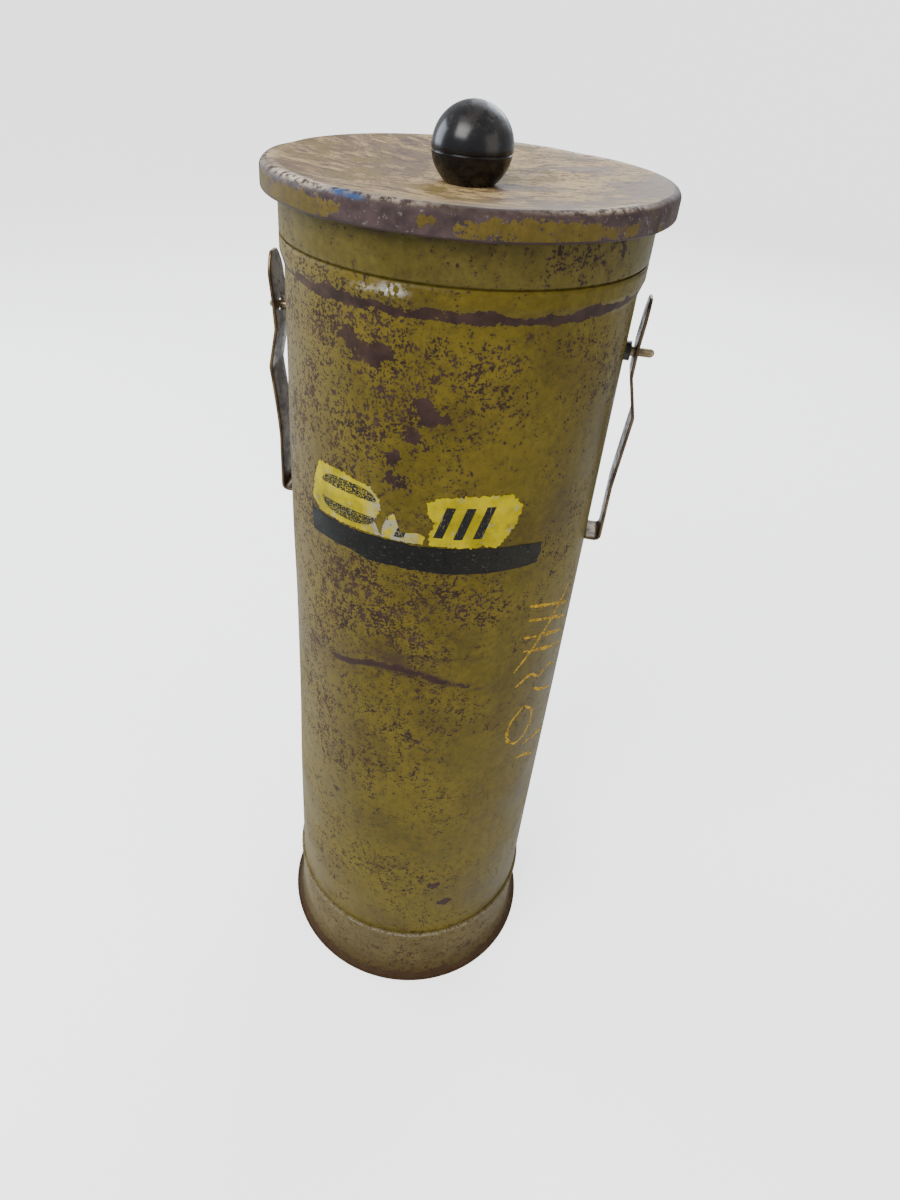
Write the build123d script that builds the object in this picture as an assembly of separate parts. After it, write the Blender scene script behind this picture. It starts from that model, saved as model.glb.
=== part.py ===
from build123d import *
import math
import os

# A portable heated canister that keeps welding electrodes warm and dry. Millimetres, +Z up.
# The origin is the centre of the circle it stands on. The label faces -Y, the power inlet +Y,
# and the spring keepers for the carrying strap stand at +X and -X.

# Driving dimensions
electrode_length = 450.0
electrode_spare = 2.5

shell_radius = 80.0
shell_wall = 1.0
swage_step = 2.0            # how far the shell's top end is swaged out
swage_taper = 6.5           # height of the taper
swage_land = 6.5            # straight band above it, up to the seam
shell_below_plate = 2.0     # the shell reaches this far below the base plate

chamber_radius = 44.2       # inside of the inner tube
tube_wall = 0.8

foot_spread = 6.5           # the foot reaches this far outside the shell
foot_brim = 1.2
foot_flat = 2.5             # width of the ring it stands on
foot_flare_height = 12.0
sleeve_wall = 1.0
sleeve_height = 52.0
bead_proud = 1.0
bead_height = 2.6

base_recess = 8.0           # from the ground to the base plate
base_plate_wall = 1.2
wiring_space = 14.8
bulkhead_wall = 1.0
base_pad_height = 8.0
floor_wall = 1.0
floor_flange = 6.0

lid_overhang = 9.0          # lid's edge outside the shell
lid_sheet = 1.0
lid_dish = 7.0              # the lid's middle lies this far below its rim
lid_edge_radius = 3.5
lid_skirt = 11.0            # height of the lid's edge
hem_fold = 3.2
hem_space = 0.6             # between the skirt and the fold of its hem
liner_sheet = 0.8
liner_space = 8.1           # insulation inside the lid
seal_height = 1.4
seal_width = 5.0
seal_inset = 2.5            # from the collar's wall in to the seal

knob_diameter = 35.0
knob_foot_radius = 10.5
knob_stud_radius = 4.0
knob_stud_reach = 13.0      # how far it goes into the knob
knob_line_groove = 0.4      # width and depth of the moulding line
knob_line_below = 1.5       # below the ball's middle
insert_radius = 6.0
insert_height = 14.0
nut_height = 6.5
nut_across_flats = 13.0
nut_stud_end = 1.5
washer_height = 1.6
washer_radius = 12.0

collar_sheet = 1.0
collar_below_hem = 18.0     # from the lid's hem down to the seam with the shell
collar_spigot = 5.5
collar_corner = 2.5
collar_land = 9.0           # level ring under the seal
collar_mouth_drop = 9.5     # the collar's top falls this far towards the mouth
collar_lip = 9.0
seam_groove = 0.3           # open line between shell and collar
tube_seat = 3.0             # inner tube's top below the mouth
wool_below_tube = 8.0

stud_radius = 2.0
stud_shank_radius = 2.3
stud_free_length = 7.3      # the thinner end outside the keeper
stud_below_seam = 41.0
stud_reach = 13.5           # from the shell to the stud's rounded end
stud_head_radius = 3.5
stud_head_height = 1.5
boss_radius = 4.5
boss_height = 2.5

keeper_width = 18.0
keeper_sheet = 1.5
keeper_stand_off = 7.2      # middle of the strip to the shell, at the foot
keeper_below_stud = 99.0
keeper_straight = 32.0
keeper_knee_out = 10.0
keeper_knee_height = 69.5
keeper_neck_out = 5.0
keeper_neck_height = 89.0
keeper_tip_out = 6.4
keeper_tip_height = 124.5
keeper_tip_taper = 9.0
keeper_tip_share = 0.3      # width left at the very tip
keeper_leg = 14.0
keeper_bend = 3.0

inlet_above_sleeve = 6.0
inlet_proud = 4.5           # surround's front outside the shell
surround_margin = 2.0       # surround outside the inlet's flange
plate_corner = 4.0
inlet_flange_side = 6.5     # flange outside the inlet's body, left and right
inlet_flange_lip = 5.5      # the same above and below
inlet_flange_depth = 2.0
inlet_body_width = 37.0
inlet_body_height = 19.0
inlet_body_depth = 22.5
inlet_wall = 3.0
inlet_roof = 1.7
inlet_socket_depth = 16.0
inlet_corner = 3.0
inlet_pin_radius = 2.5
inlet_pin_spacing = 19.0
inlet_pin_recess = 1.5
contact_width = 6.0
contact_depth = 12.0
contact_sheet = 0.6
inlet_screw_inset = 3.0     # from the flange's end to the screw
inlet_screw_radius = 1.5
inlet_screw_head = 2.8
inlet_screw_head_height = 1.8
inlet_screw_depth = 6.5
pin_chamfer = 0.8
nut_chamfer = 0.9

heater_wall = 3.0
heater_above_floor = 32.0
heater_length = 160.0
heater_gap = 12.0           # degrees left open at the front
clamp_sheet = 0.8
clamp_width = 8.0
clamp_inset = 24.0
clamp_lug_length = 8.0
clamp_screw_radius = 2.0
clamp_screw_head = 3.5
clamp_screw_head_height = 2.4
clamp_nut_height = 3.0
clamp_screw_end = 1.0

thermostat_radius = 8.0
thermostat_cap_radius = 6.0
thermostat_cap_height = 3.0
terminal_width = 40.0
terminal_depth = 14.0
terminal_height = 10.0
terminal_ways = 4
terminal_hole_radius = 1.5
lead_radius = 1.2
lead_bend = 5.0
heater_lead_spacing = 12.0
lead_slot_width = 24.0
lead_row_spacing = 7.5      # inlet leads come down this far behind the heater leads
earth_screw_radius = 2.0
earth_screw_head = 4.0
earth_screw_head_height = 2.8
earth_screw_end = 4.0
earth_stand_off = 9.0       # from the inner tube to the earth screw
earth_angle = 124.0

tab_sheet = 1.5
tab_height = 12.0
tab_length = 15.0
tab_spread = 12.0           # degrees
tab_angles = (30.0, 150.0, 270.0)
base_screw_inset = 9.0      # from the shell's inside to the screw
base_screw_radius = 2.0
base_screw_head = 4.0
base_screw_head_height = 2.5
base_screw_chamfer = 0.6
base_screw_length = 6.0

label_foil = 0.2
stripe_below_seam = 129.0
stripe_height = 14.0
label_gap = 1.0
label_height = 27.0
stripe_span = (-41.0, 46.0)                     # degrees from -Y towards +X
label_spans = ((-42.0, -7.0), (5.0, 36.0))

# Clearances
slip_gap = 0.8              # lid liner in the collar's mouth
seat_gap = 0.2              # lid seal over the collar's crown
plate_gap = 0.4             # base plate inside the shell
keeper_gap = 0.3            # keeper's lower end to its foot tab
keeper_hole_gap = 0.8       # keeper's hole round the stud
screw_gap = 0.2             # a screw in a plain hole
body_gap = 0.1              # inlet body in its surround
pocket_gap = 1.0            # insulation round what it is cut away for
slot_gap = 0.25             # shell slot round the keeper's foot tab

# The inlet's plates
inlet_flange_width = inlet_body_width + 2 * inlet_flange_side
inlet_flange_height = inlet_body_height + 2 * inlet_flange_lip
surround_width = inlet_flange_width + 2 * surround_margin
surround_height = inlet_flange_height + 2 * surround_margin
inlet_screw_places = tuple(side * (inlet_flange_width / 2 - inlet_screw_inset) for side in (-1, 1))

# Heights, from the ground up
inlet_height = sleeve_height + inlet_above_sleeve + surround_height / 2
base_plate_top = base_recess + base_plate_wall
bulkhead_bottom = base_plate_top + wiring_space
bulkhead_top = bulkhead_bottom + bulkhead_wall
floor_top = bulkhead_top + base_pad_height + floor_wall
floor_bottom = floor_top - floor_wall
stud_end = floor_top + electrode_length + electrode_spare
nut_bottom = stud_end + nut_stud_end
nut_top = nut_bottom + nut_height
liner_bottom = nut_top + washer_height
lid_under = liner_bottom + liner_sheet + liner_space
knob_base = lid_under + lid_sheet
rim_top = knob_base + lid_dish
hem_bottom = rim_top - lid_skirt
seam = hem_bottom - collar_below_hem
swage_top = seam - swage_land
swage_bottom = swage_top - swage_taper
stud_height = seam - stud_below_seam
keeper_foot = stud_height - keeper_below_stud
stripe_bottom = seam - stripe_below_seam

# Radii
foot_radius = shell_radius + foot_spread
lid_radius = shell_radius + lid_overhang
shell_inside = shell_radius - shell_wall
base_screw_circle = shell_inside - base_screw_inset
swaged_radius = shell_radius + swage_step
swaged_inside = swaged_radius - shell_wall
tube_radius = chamber_radius + tube_wall
sleeve_radius = shell_radius + sleeve_wall
mouth_radius = chamber_radius - collar_sheet
liner_radius = mouth_radius - slip_gap
knob_radius = knob_diameter / 2
knob_middle = knob_base + math.sqrt(knob_radius ** 2 - knob_foot_radius ** 2)
dish_edge = lid_radius - lid_edge_radius
flat_middle = knob_foot_radius + 0.5
keeper_middle = shell_radius + keeper_stand_off
stud_end_radius = shell_radius + stud_reach
inlet_face = shell_radius + inlet_proud
inlet_front = inlet_face + inlet_flange_depth
inlet_back = inlet_face - inlet_body_depth
heater_outside = tube_radius + heater_wall
clamp_lug_end = heater_outside + clamp_lug_length


def dish_rise(radius):
    """How far the dished lid rises from its middle out to a radius."""
    return lid_dish * (radius ** 2 - flat_middle ** 2) / (dish_edge ** 2 - flat_middle ** 2)


seal_outside = swaged_radius - seal_inset
seal_inside = seal_outside - seal_width
seal_bottom = lid_under + dish_rise(seal_inside) - seal_height
crown = seal_bottom - seat_gap
mouth_height = crown - collar_mouth_drop
tube_top = mouth_height - tube_seat
terminal_top = base_plate_top + terminal_height
heater_bottom = floor_top + heater_above_floor
heater_top = heater_bottom + heater_length
heater_lead_at = tube_radius + heater_wall / 2
inlet_lead_at = heater_lead_at + lead_row_spacing
earth_at = ((tube_radius + earth_stand_off) * math.cos(math.radians(earth_angle)),
            (tube_radius + earth_stand_off) * math.sin(math.radians(earth_angle)))
terminal_middle = (heater_lead_at + inlet_lead_at) / 2


def turned(*edges):
    """A solid turned about Z from edges drawn as (radius, height)."""
    return revolve(Plane.XZ * make_face(Curve() + list(edges)), Axis.Z)


def ring(outer, inner, low, high):
    """A plain ring, or a disc where the inner radius is 0."""
    middle = (low + high) / 2
    solid = Pos(0, 0, middle) * Cylinder(outer, high - low)
    if inner > 0:
        solid -= Pos(0, 0, middle) * Cylinder(inner, 2 * (high - low))
    return solid


def sector(outer, inner, low, high, start, end):
    """Part of a ring between two azimuths, in degrees from -Y towards +X."""
    section = Pos((outer + inner) / 2, (low + high) / 2) * Rectangle(outer - inner, high - low)
    return revolve(Rot(0, 0, start - 90) * (Plane.XZ * section), Axis.Z, end - start)


def block(x, y, z):
    """A box between pairs of limits along each axis."""
    size = Box(x[1] - x[0], y[1] - y[0], z[1] - z[0])
    return Pos((x[0] + x[1]) / 2, (y[0] + y[1]) / 2, (z[0] + z[1]) / 2) * size


def rod_x(radius, start, end, y, z):
    """A round rod along X."""
    return Pos((start + end) / 2, y, z) * Rot(0, 90, 0) * Cylinder(radius, abs(end - start))


def rod_y(radius, start, end, x, z):
    """A round rod along Y."""
    return Pos(x, (start + end) / 2, z) * Rot(90, 0, 0) * Cylinder(radius, abs(end - start))


def rod_z(radius, start, end, x=0.0, y=0.0):
    """A round rod along Z."""
    return Pos(x, y, (start + end) / 2) * Cylinder(radius, abs(end - start))


def round_plate(width, height, near, far, corner):
    """A rounded rectangular plate facing +Y at the inlet's height."""
    face = Plane.XZ * RectangleRounded(width, height, corner)
    return Pos(0, far, inlet_height) * extrude(face, far - near)


def dish_arc(height):
    """The dished line of the lid's top or underside, from its flat middle out to its edge."""
    middle = (flat_middle + dish_edge) / 2
    return ThreePointArc((flat_middle, height), (middle, height + dish_rise(middle)),
                         (dish_edge, height + lid_dish))


def make_outer_shell():
    """Rolled tube, swaged out at the top, with the openings for inlet, keeper feet and studs."""
    bottom = base_recess - shell_below_plate
    outside = Polyline((shell_inside, bottom), (shell_radius, bottom), (shell_radius, swage_bottom),
                       (swaged_radius, swage_top), (swaged_radius, seam), (swaged_inside, seam),
                       (swaged_inside, swage_top), (shell_inside, swage_bottom), close=True)
    shell = turned(outside)
    shell -= inlet_cutter()
    half_slot = keeper_sheet / 2 + slot_gap
    for side in (-1, 1):
        shell -= block(sorted((side * chamber_radius, side * lid_radius)),
                       (-keeper_width / 2 - slot_gap, keeper_width / 2 + slot_gap),
                       (keeper_foot - half_slot, keeper_foot + half_slot))
        shell -= rod_x(stud_shank_radius, side * chamber_radius, side * lid_radius, 0, stud_height)
    return shell


def bent_sheet(points, radii, thickness):
    """A turned sheet whose outer face follows the points; the sheet lies to the left of the path."""
    path = FilletPolyline(*points, radius=radii)
    return turned(*offset(path, thickness, side=Side.LEFT).edges())


def make_top_collar():
    """Pressed collar: a spigot in the shell, the wall under the lid, a level land and a sloped mouth."""
    points = [(swaged_inside, seam - collar_spigot), (swaged_inside, seam + seam_groove),
              (swaged_radius, seam + seam_groove + collar_sheet), (swaged_radius, crown),
              (swaged_radius - collar_land, crown), (mouth_radius, mouth_height),
              (mouth_radius, mouth_height - collar_lip)]
    return bent_sheet(points, [seam_groove, 1.5 * collar_sheet, collar_corner, collar_corner, collar_corner],
                      collar_sheet)


def make_base_sleeve():
    """Sleeve over the shell's lower end, with a raised bead at its top and a foot flared outwards."""
    brim_inside = foot_radius - foot_flat
    brim_outside = brim_inside + foot_brim
    bead_low = sleeve_height - bead_height
    down = (0, -1)
    edges = [
        Polyline((brim_inside, 0), (foot_radius, 0), (foot_radius, foot_brim), (brim_outside, foot_brim)),
        TangentArc((sleeve_radius, foot_flare_height), (brim_outside, foot_brim), tangent=down),
        Line((sleeve_radius, foot_flare_height), (sleeve_radius, bead_low)),
        ThreePointArc((sleeve_radius, bead_low),
                      (sleeve_radius + bead_proud, sleeve_height - bead_height / 2),
                      (sleeve_radius, sleeve_height)),
        Polyline((sleeve_radius, sleeve_height), (shell_radius, sleeve_height),
                 (shell_radius, foot_flare_height)),
        TangentArc((shell_radius, foot_flare_height), (brim_inside, 0), tangent=down),
    ]
    return turned(*edges)


def around(angles, radius, make):
    """One solid from make(x, y) at each angle on a circle about Z."""
    return [make(radius * math.cos(math.radians(a)), radius * math.sin(math.radians(a))) for a in angles]


def make_base_tabs():
    """Bent tabs welded inside the shell, which the base plate is screwed up to."""
    tabs = []
    for angle in tab_angles:
        azimuth = angle + 90
        span = (azimuth - tab_spread / 2, azimuth + tab_spread / 2)
        low = base_plate_top
        tab = sector(shell_inside, shell_inside - tab_sheet, low, low + tab_height, *span)
        tab += sector(shell_inside, shell_inside - tab_length, low, low + tab_sheet, *span)
        tabs.append(tab)
    holes = around(tab_angles, base_screw_circle,
                   lambda x, y: rod_z(base_screw_radius, 0, bulkhead_bottom, x, y))
    return Compound(children=[tab - hole for tab, hole in zip(tabs, holes)])


def make_base_screws():
    """Pan-head screws up through the base plate."""
    def screw(x, y):
        head = rod_z(base_screw_head, base_recess - base_screw_head_height, base_recess, x, y)
        head = chamfer(head.edges().sort_by(Axis.Z)[0], base_screw_chamfer)
        return head + rod_z(base_screw_radius, base_recess, base_recess + base_screw_length, x, y)
    return Compound(children=around(tab_angles, base_screw_circle, screw))


def make_base_plate():
    """Flat disc that closes the wiring space."""
    plate = ring(shell_inside - plate_gap, 0, base_recess, base_plate_top)
    for hole in around(tab_angles, base_screw_circle,
                       lambda x, y: rod_z(base_screw_radius + screw_gap, 0, bulkhead_bottom, x, y)):
        plate -= hole
    return plate


def lead_slot(low, high):
    """The way the leads take down behind the inner tube."""
    return block((-lead_slot_width / 2, lead_slot_width / 2), (chamber_radius, inlet_back), (low, high))


def make_bulkhead_plate():
    """Plate between the wiring space and the insulation."""
    plate = ring(shell_inside, 0, bulkhead_bottom, bulkhead_top) - lead_slot(0, floor_top)
    return plate - rod_z(earth_screw_radius, 0, floor_top, *earth_at)


def make_base_insulation():
    """Pad under the inner floor, with a hole for the thermostat."""
    pad = ring(chamber_radius - floor_wall, 0, bulkhead_top, floor_bottom)
    return pad - rod_z(thermostat_radius + pocket_gap, bulkhead_bottom, floor_top)


def make_inner_floor():
    """Floor of the electrode chamber, flanged downwards inside the tube."""
    floor = ring(chamber_radius, 0, floor_top - floor_flange, floor_top)
    return floor - ring(chamber_radius - floor_wall, 0, floor_top - 2 * floor_flange, floor_bottom)


def make_inner_tube():
    """Tube that holds the electrodes."""
    return ring(tube_radius, chamber_radius, floor_top - floor_flange, tube_top)


def foot_leg(side):
    """The keeper foot's leg, curved to lie on the inside of the shell."""
    azimuth = 90 * side
    spread = math.degrees(keeper_width / 2 / shell_inside)
    return sector(shell_inside, shell_inside - keeper_sheet, keeper_foot - keeper_leg,
                  keeper_foot + keeper_sheet / 2, azimuth - spread, azimuth + spread)


def make_insulation_sleeve():
    """Mineral wool between the inner tube and the shell, cut away for what stands in it."""
    wool = ring(shell_inside, tube_radius, bulkhead_top, swage_bottom)
    wool += ring(shell_inside - collar_sheet - pocket_gap, tube_radius, swage_bottom - 1.0,
                 tube_top - wool_below_tube)
    wool -= ring(heater_outside + clamp_sheet, chamber_radius, heater_bottom - pocket_gap,
                 heater_top + pocket_gap)
    wool -= block((-lead_slot_width / 2, lead_slot_width / 2),
                  (-clamp_lug_end - pocket_gap, -chamber_radius),
                  (heater_bottom - pocket_gap, heater_top + pocket_gap))
    half_width = inlet_body_width / 2 + pocket_gap
    half_height = inlet_body_height / 2 + pocket_gap
    wool -= block((-half_width, half_width), (inlet_back - pocket_gap, swaged_radius),
                  (inlet_height - half_height, inlet_height + half_height))
    wool -= lead_slot(bulkhead_bottom, inlet_height + half_height)
    wool -= rod_z(earth_screw_head + pocket_gap, bulkhead_bottom, bulkhead_top + earth_screw_end + pocket_gap,
                  *earth_at)
    pocket = keeper_width / 2 + pocket_gap
    for side in (-1, 1):
        depth = sorted((side * (shell_inside - 2 * keeper_sheet - pocket_gap), side * shell_radius))
        wool -= block(depth, (-pocket, pocket), (keeper_foot - keeper_leg - pocket_gap,
                                                 keeper_foot + keeper_sheet + pocket_gap))
        wool -= block(depth, (-stud_head_radius - pocket_gap, stud_head_radius + pocket_gap),
                      (stud_height - stud_head_radius - pocket_gap,
                       stud_height + stud_head_radius + pocket_gap))
    return wool


def make_heater_band():
    """Flat resistance band round the lower part of the inner tube, open at the front."""
    return sector(heater_outside, tube_radius, heater_bottom, heater_top, heater_gap / 2,
                  360 - heater_gap / 2)


clamp_heights = (heater_bottom + clamp_inset, heater_top - clamp_inset)
clamp_line = heater_outside + clamp_lug_length * 0.6
clamp_face = heater_outside * math.sin(math.radians(heater_gap / 2))


def make_heater_clamps():
    """Thin straps round the heater band, turned out into lugs at the gap."""
    half_gap = heater_gap / 2
    clamps = []
    for height in clamp_heights:
        low, high = height - clamp_width / 2, height + clamp_width / 2
        clamp = sector(heater_outside + clamp_sheet, heater_outside, low, high, half_gap, 360 - half_gap)
        for side in (-1, 1):
            lug = block(sorted((side * clamp_face, side * (clamp_face + clamp_sheet))),
                        (-clamp_lug_end, -heater_outside), (low, high))
            lug -= rod_x(clamp_screw_radius, -2 * clamp_face, 2 * clamp_face, -clamp_line, height)
            clamp += lug
        clamps.append(clamp)
    return Compound(children=clamps)


def make_clamp_screws():
    """A screw and nut across each clamp's lugs."""
    face = clamp_face + clamp_sheet
    screws = []
    for height in clamp_heights:
        screw = rod_x(clamp_screw_radius, -face - clamp_nut_height - clamp_screw_end, face, -clamp_line,
                      height)
        screw += rod_x(clamp_screw_head, face, face + clamp_screw_head_height, -clamp_line, height)
        nut = Rot(0, 90, 0) * extrude(RegularPolygon(clamp_screw_head, 6), clamp_nut_height)
        screw += Pos(-face - clamp_nut_height, -clamp_line, height) * nut
        screws.append(screw)
    return Compound(children=screws)


def make_thermostat():
    """Round thermostat pressed against the underside of the inner floor."""
    cap = rod_z(thermostat_cap_radius, bulkhead_top, bulkhead_top + thermostat_cap_height)
    return cap + rod_z(thermostat_radius, bulkhead_top + thermostat_cap_height, floor_bottom)


def make_terminal_block():
    """Porcelain terminal strip on the base plate, with a screw hole over each way."""
    strip = block((-terminal_width / 2, terminal_width / 2),
                  (terminal_middle - terminal_depth / 2, terminal_middle + terminal_depth / 2),
                  (base_plate_top, terminal_top))
    strip = fillet(strip.edges().filter_by(Axis.Z), terminal_hole_radius)
    pitch = terminal_width / terminal_ways
    for way in range(terminal_ways):
        x = (way + 0.5) * pitch - terminal_width / 2
        strip -= rod_y(terminal_hole_radius, terminal_middle - terminal_depth,
                       terminal_middle + terminal_depth, x, (base_plate_top + terminal_top) / 2)
    return strip


def make_earth_screw():
    """Earth screw and nut through the bulkhead plate."""
    x, y = earth_at
    head = extrude(RegularPolygon(earth_screw_head, 6), earth_screw_head_height)
    screw = Pos(x, y, bulkhead_bottom - earth_screw_head_height) * head
    return screw + rod_z(earth_screw_radius, bulkhead_bottom, bulkhead_top + earth_screw_end, x, y)


def lead(path):
    """A round lead swept along a path."""
    return sweep((path ^ 0) * Circle(lead_radius), path)


def make_heater_leads():
    """Two straight leads from the terminal strip up to the heater band."""
    return Compound(children=[rod_z(lead_radius, terminal_top, heater_bottom,
                                    side * heater_lead_spacing / 2, heater_lead_at) for side in (-1, 1)])


def make_inlet_leads():
    """Two leads from the back of the inlet's pins down to the terminal strip."""
    leads = []
    for side in (-1, 1):
        x = side * inlet_pin_spacing / 2
        path = FilletPolyline((x, inlet_back, inlet_height), (x, inlet_lead_at, inlet_height),
                              (x, inlet_lead_at, terminal_top), radius=lead_bend)
        leads.append(lead(path))
    return Compound(children=leads)


def inlet_cutter():
    """The inlet body's own cross-section with its clearance, as a prism through the wall."""
    return round_plate(inlet_body_width + 2 * body_gap, inlet_body_height + 2 * body_gap,
                       0, lid_radius, inlet_corner)


def make_inlet_surround():
    """Welded frame that gives the inlet a flat seat on the round shell."""
    frame = round_plate(surround_width, surround_height, chamber_radius, inlet_face, plate_corner)
    frame -= rod_z(shell_radius, 0, 2 * inlet_height)
    frame -= inlet_cutter()
    for x in inlet_screw_places:
        frame -= rod_y(inlet_screw_radius, inlet_face - inlet_screw_depth, lid_radius, x, inlet_height)
    return frame


def make_power_inlet():
    """Moulded inlet: flange, body and the socket that the connector goes into."""
    inlet = round_plate(inlet_flange_width, inlet_flange_height, inlet_face, inlet_front, plate_corner)
    inlet += round_plate(inlet_body_width, inlet_body_height, inlet_back, inlet_face,
                         inlet_corner - body_gap)
    inlet -= round_plate(inlet_body_width - 2 * inlet_wall, inlet_body_height - 2 * inlet_roof,
                         inlet_front - inlet_socket_depth, inlet_front, inlet_corner)
    for side in (-1, 1):
        inlet -= rod_y(inlet_pin_radius, 0, lid_radius, side * inlet_pin_spacing / 2, inlet_height)
    for x in inlet_screw_places:
        inlet -= rod_y(inlet_screw_radius + screw_gap, chamber_radius, lid_radius, x, inlet_height)
    return inlet


def make_inlet_pins():
    """The inlet's two round pins."""
    pins = []
    for side in (-1, 1):
        pin = rod_y(inlet_pin_radius, inlet_back, inlet_front - inlet_pin_recess,
                    side * inlet_pin_spacing / 2, inlet_height)
        pins.append(chamfer(pin.edges().sort_by(Axis.Y)[-1], pin_chamfer))
    return Compound(children=pins)


def make_earth_contact():
    """Flat earth contact on the lower wall of the socket."""
    low = inlet_height - inlet_body_height / 2 + inlet_roof
    back = inlet_front - inlet_socket_depth
    return block((-contact_width / 2, contact_width / 2), (back, back + contact_depth),
                 (low, low + contact_sheet))


def make_inlet_screws():
    """Two pan-head screws through the inlet's flange."""
    screws = []
    for x in inlet_screw_places:
        head = rod_y(inlet_screw_head, inlet_front, inlet_front + inlet_screw_head_height, x, inlet_height)
        head = fillet(head.edges().sort_by(Axis.Y)[-1], inlet_screw_head_height / 2)
        screws.append(head + rod_y(inlet_screw_radius, inlet_face - inlet_screw_depth, inlet_front, x,
                                   inlet_height))
    return Compound(children=screws)


def make_strap_studs():
    """Studs riveted through the shell; the strap's eye goes over the domed free end."""
    dome = stud_end_radius - stud_radius
    stud = rod_x(stud_shank_radius, shell_inside - stud_head_height, stud_end_radius - stud_free_length, 0,
                 stud_height)
    stud += rod_x(stud_radius, shell_radius, dome, 0, stud_height)
    stud += Pos(dome, 0, stud_height) * Sphere(stud_radius)
    head = rod_x(stud_head_radius, shell_inside - stud_head_height, shell_radius, 0, stud_height)
    stud += head & rod_z(shell_inside, 0, rim_top)
    return Compound(children=[stud, Rot(0, 0, 180) * stud])


def make_stud_bosses():
    """Round bosses under the strap's eyes, shaped to the shell."""
    boss = rod_x(boss_radius, chamber_radius, shell_radius + boss_height, 0, stud_height)
    boss -= rod_z(shell_radius, 0, rim_top)
    boss -= rod_x(stud_shank_radius, chamber_radius, lid_radius, 0, stud_height)
    return Compound(children=[boss, Rot(0, 0, 180) * boss])


def make_clip_foot(side):
    """Fixed end of a keeper: a level tab through the shell and a leg welded to its inside."""
    end = keeper_middle - keeper_sheet / 2 - keeper_gap
    tab = block(sorted((side * (shell_inside - keeper_sheet), side * end)),
                (-keeper_width / 2, keeper_width / 2),
                (keeper_foot - keeper_sheet / 2, keeper_foot + keeper_sheet / 2))
    return tab + foot_leg(side)


def make_clip_blade(side):
    """Spring blade of a keeper: straight, bent out to a knee, in at the stud, and out to its tip."""
    def at(out, height):
        return (shell_radius + out, keeper_foot + height)

    middle = FilletPolyline(
        at(keeper_stand_off, 0.0), at(keeper_stand_off, keeper_straight),
        at(keeper_knee_out, keeper_knee_height), at(keeper_neck_out, keeper_neck_height),
        at(keeper_neck_out, keeper_below_stud + 4.0), at(keeper_tip_out, keeper_tip_height),
        radius=keeper_bend)
    strip = Plane.XZ * make_face(offset(middle, keeper_sheet / 2, side=Side.BOTH))
    blade = extrude(strip, keeper_width / 2, both=True)
    tip = keeper_foot + keeper_tip_height
    full = tip - keeper_tip_taper
    half = keeper_width / 2
    point = half * keeper_tip_share
    low = keeper_foot - keeper_sheet
    front = Polyline((-half, low), (half, low), (half, full), (point, tip), (-point, tip), (-half, full),
                     close=True)
    outline = Plane.YZ * make_face(front)
    blade &= Pos(shell_radius, 0, 0) * extrude(outline, keeper_stand_off + keeper_knee_out)
    blade -= rod_x(stud_shank_radius + keeper_hole_gap, shell_radius, 2 * shell_radius, 0, stud_height)
    return blade if side > 0 else Rot(0, 0, 180) * blade


def make_lid_pan():
    """Pressed lid: dished top, rounded edge, short skirt with its lower edge folded inwards."""
    hem = lid_sheet + hem_space / 2
    inside = lid_radius - lid_sheet
    low = hem_bottom + hem
    fold_top = hem_bottom + hem_fold
    edge = (dish_edge, rim_top - lid_edge_radius)
    fold_inside = lid_radius - 2 * hem
    hole = knob_stud_radius + screw_gap
    edges = [
        Line((hole, knob_base), (flat_middle, knob_base)),
        dish_arc(knob_base),
        CenterArc(edge, lid_edge_radius, 0, 90),
        Line((lid_radius, edge[1]), (lid_radius, low)),
        ThreePointArc((lid_radius, low), (lid_radius - hem, hem_bottom), (fold_inside, low)),
        Polyline((fold_inside, low), (fold_inside, fold_top), (inside, fold_top + hem_space), (inside, edge[1])),
        CenterArc(edge, lid_edge_radius - lid_sheet, 0, 90),
        dish_arc(lid_under),
        Polyline((flat_middle, lid_under), (hole, lid_under), (hole, knob_base)),
    ]
    return turned(*edges)


def above_lid_sheet():
    """Everything above the lid's underside, for trimming what lies against it."""
    edges = [
        Line((0, lid_under), (flat_middle, lid_under)),
        dish_arc(lid_under),
        Polyline((dish_edge, rim_top - lid_sheet), (dish_edge, 2 * rim_top), (0, 2 * rim_top),
                 (0, lid_under)),
    ]
    return turned(*edges)


def make_lid_liner():
    """Cup spun to plug the collar's mouth, welded to the lid's underside."""
    cup = ring(liner_radius, 0, liner_bottom, lid_under + lid_dish)
    cup -= ring(liner_radius - liner_sheet, 0, liner_bottom + liner_sheet, rim_top)
    cup -= above_lid_sheet()
    return cup - rod_z(knob_stud_radius + screw_gap, stud_end, rim_top)


def make_lid_insulation():
    """Wool pad inside the liner."""
    pad = ring(liner_radius - liner_sheet, 0, liner_bottom + liner_sheet, lid_under + lid_dish)
    pad -= above_lid_sheet()
    return pad - rod_z(knob_stud_radius + pocket_gap, stud_end, rim_top)


def make_lid_seal():
    """Flat woven ring under the lid, over the collar's crown."""
    return ring(seal_outside, seal_inside, seal_bottom, rim_top) - above_lid_sheet()


def make_ball_knob():
    """Moulded ball with a flat foot, a fine line round it and a blind bore for its insert."""
    ball = Pos(0, 0, knob_middle) * Sphere(knob_radius)
    ball -= ring(knob_radius + 1.0, 0, knob_middle - 2 * knob_radius, knob_base)
    line_at = knob_middle - knob_line_below
    ball -= ring(knob_radius + 1.0, knob_radius - knob_line_groove, line_at - knob_line_groove / 2,
                 line_at + knob_line_groove / 2)
    return ball - rod_z(insert_radius, knob_base - 1.0, knob_base + insert_height)


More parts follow.
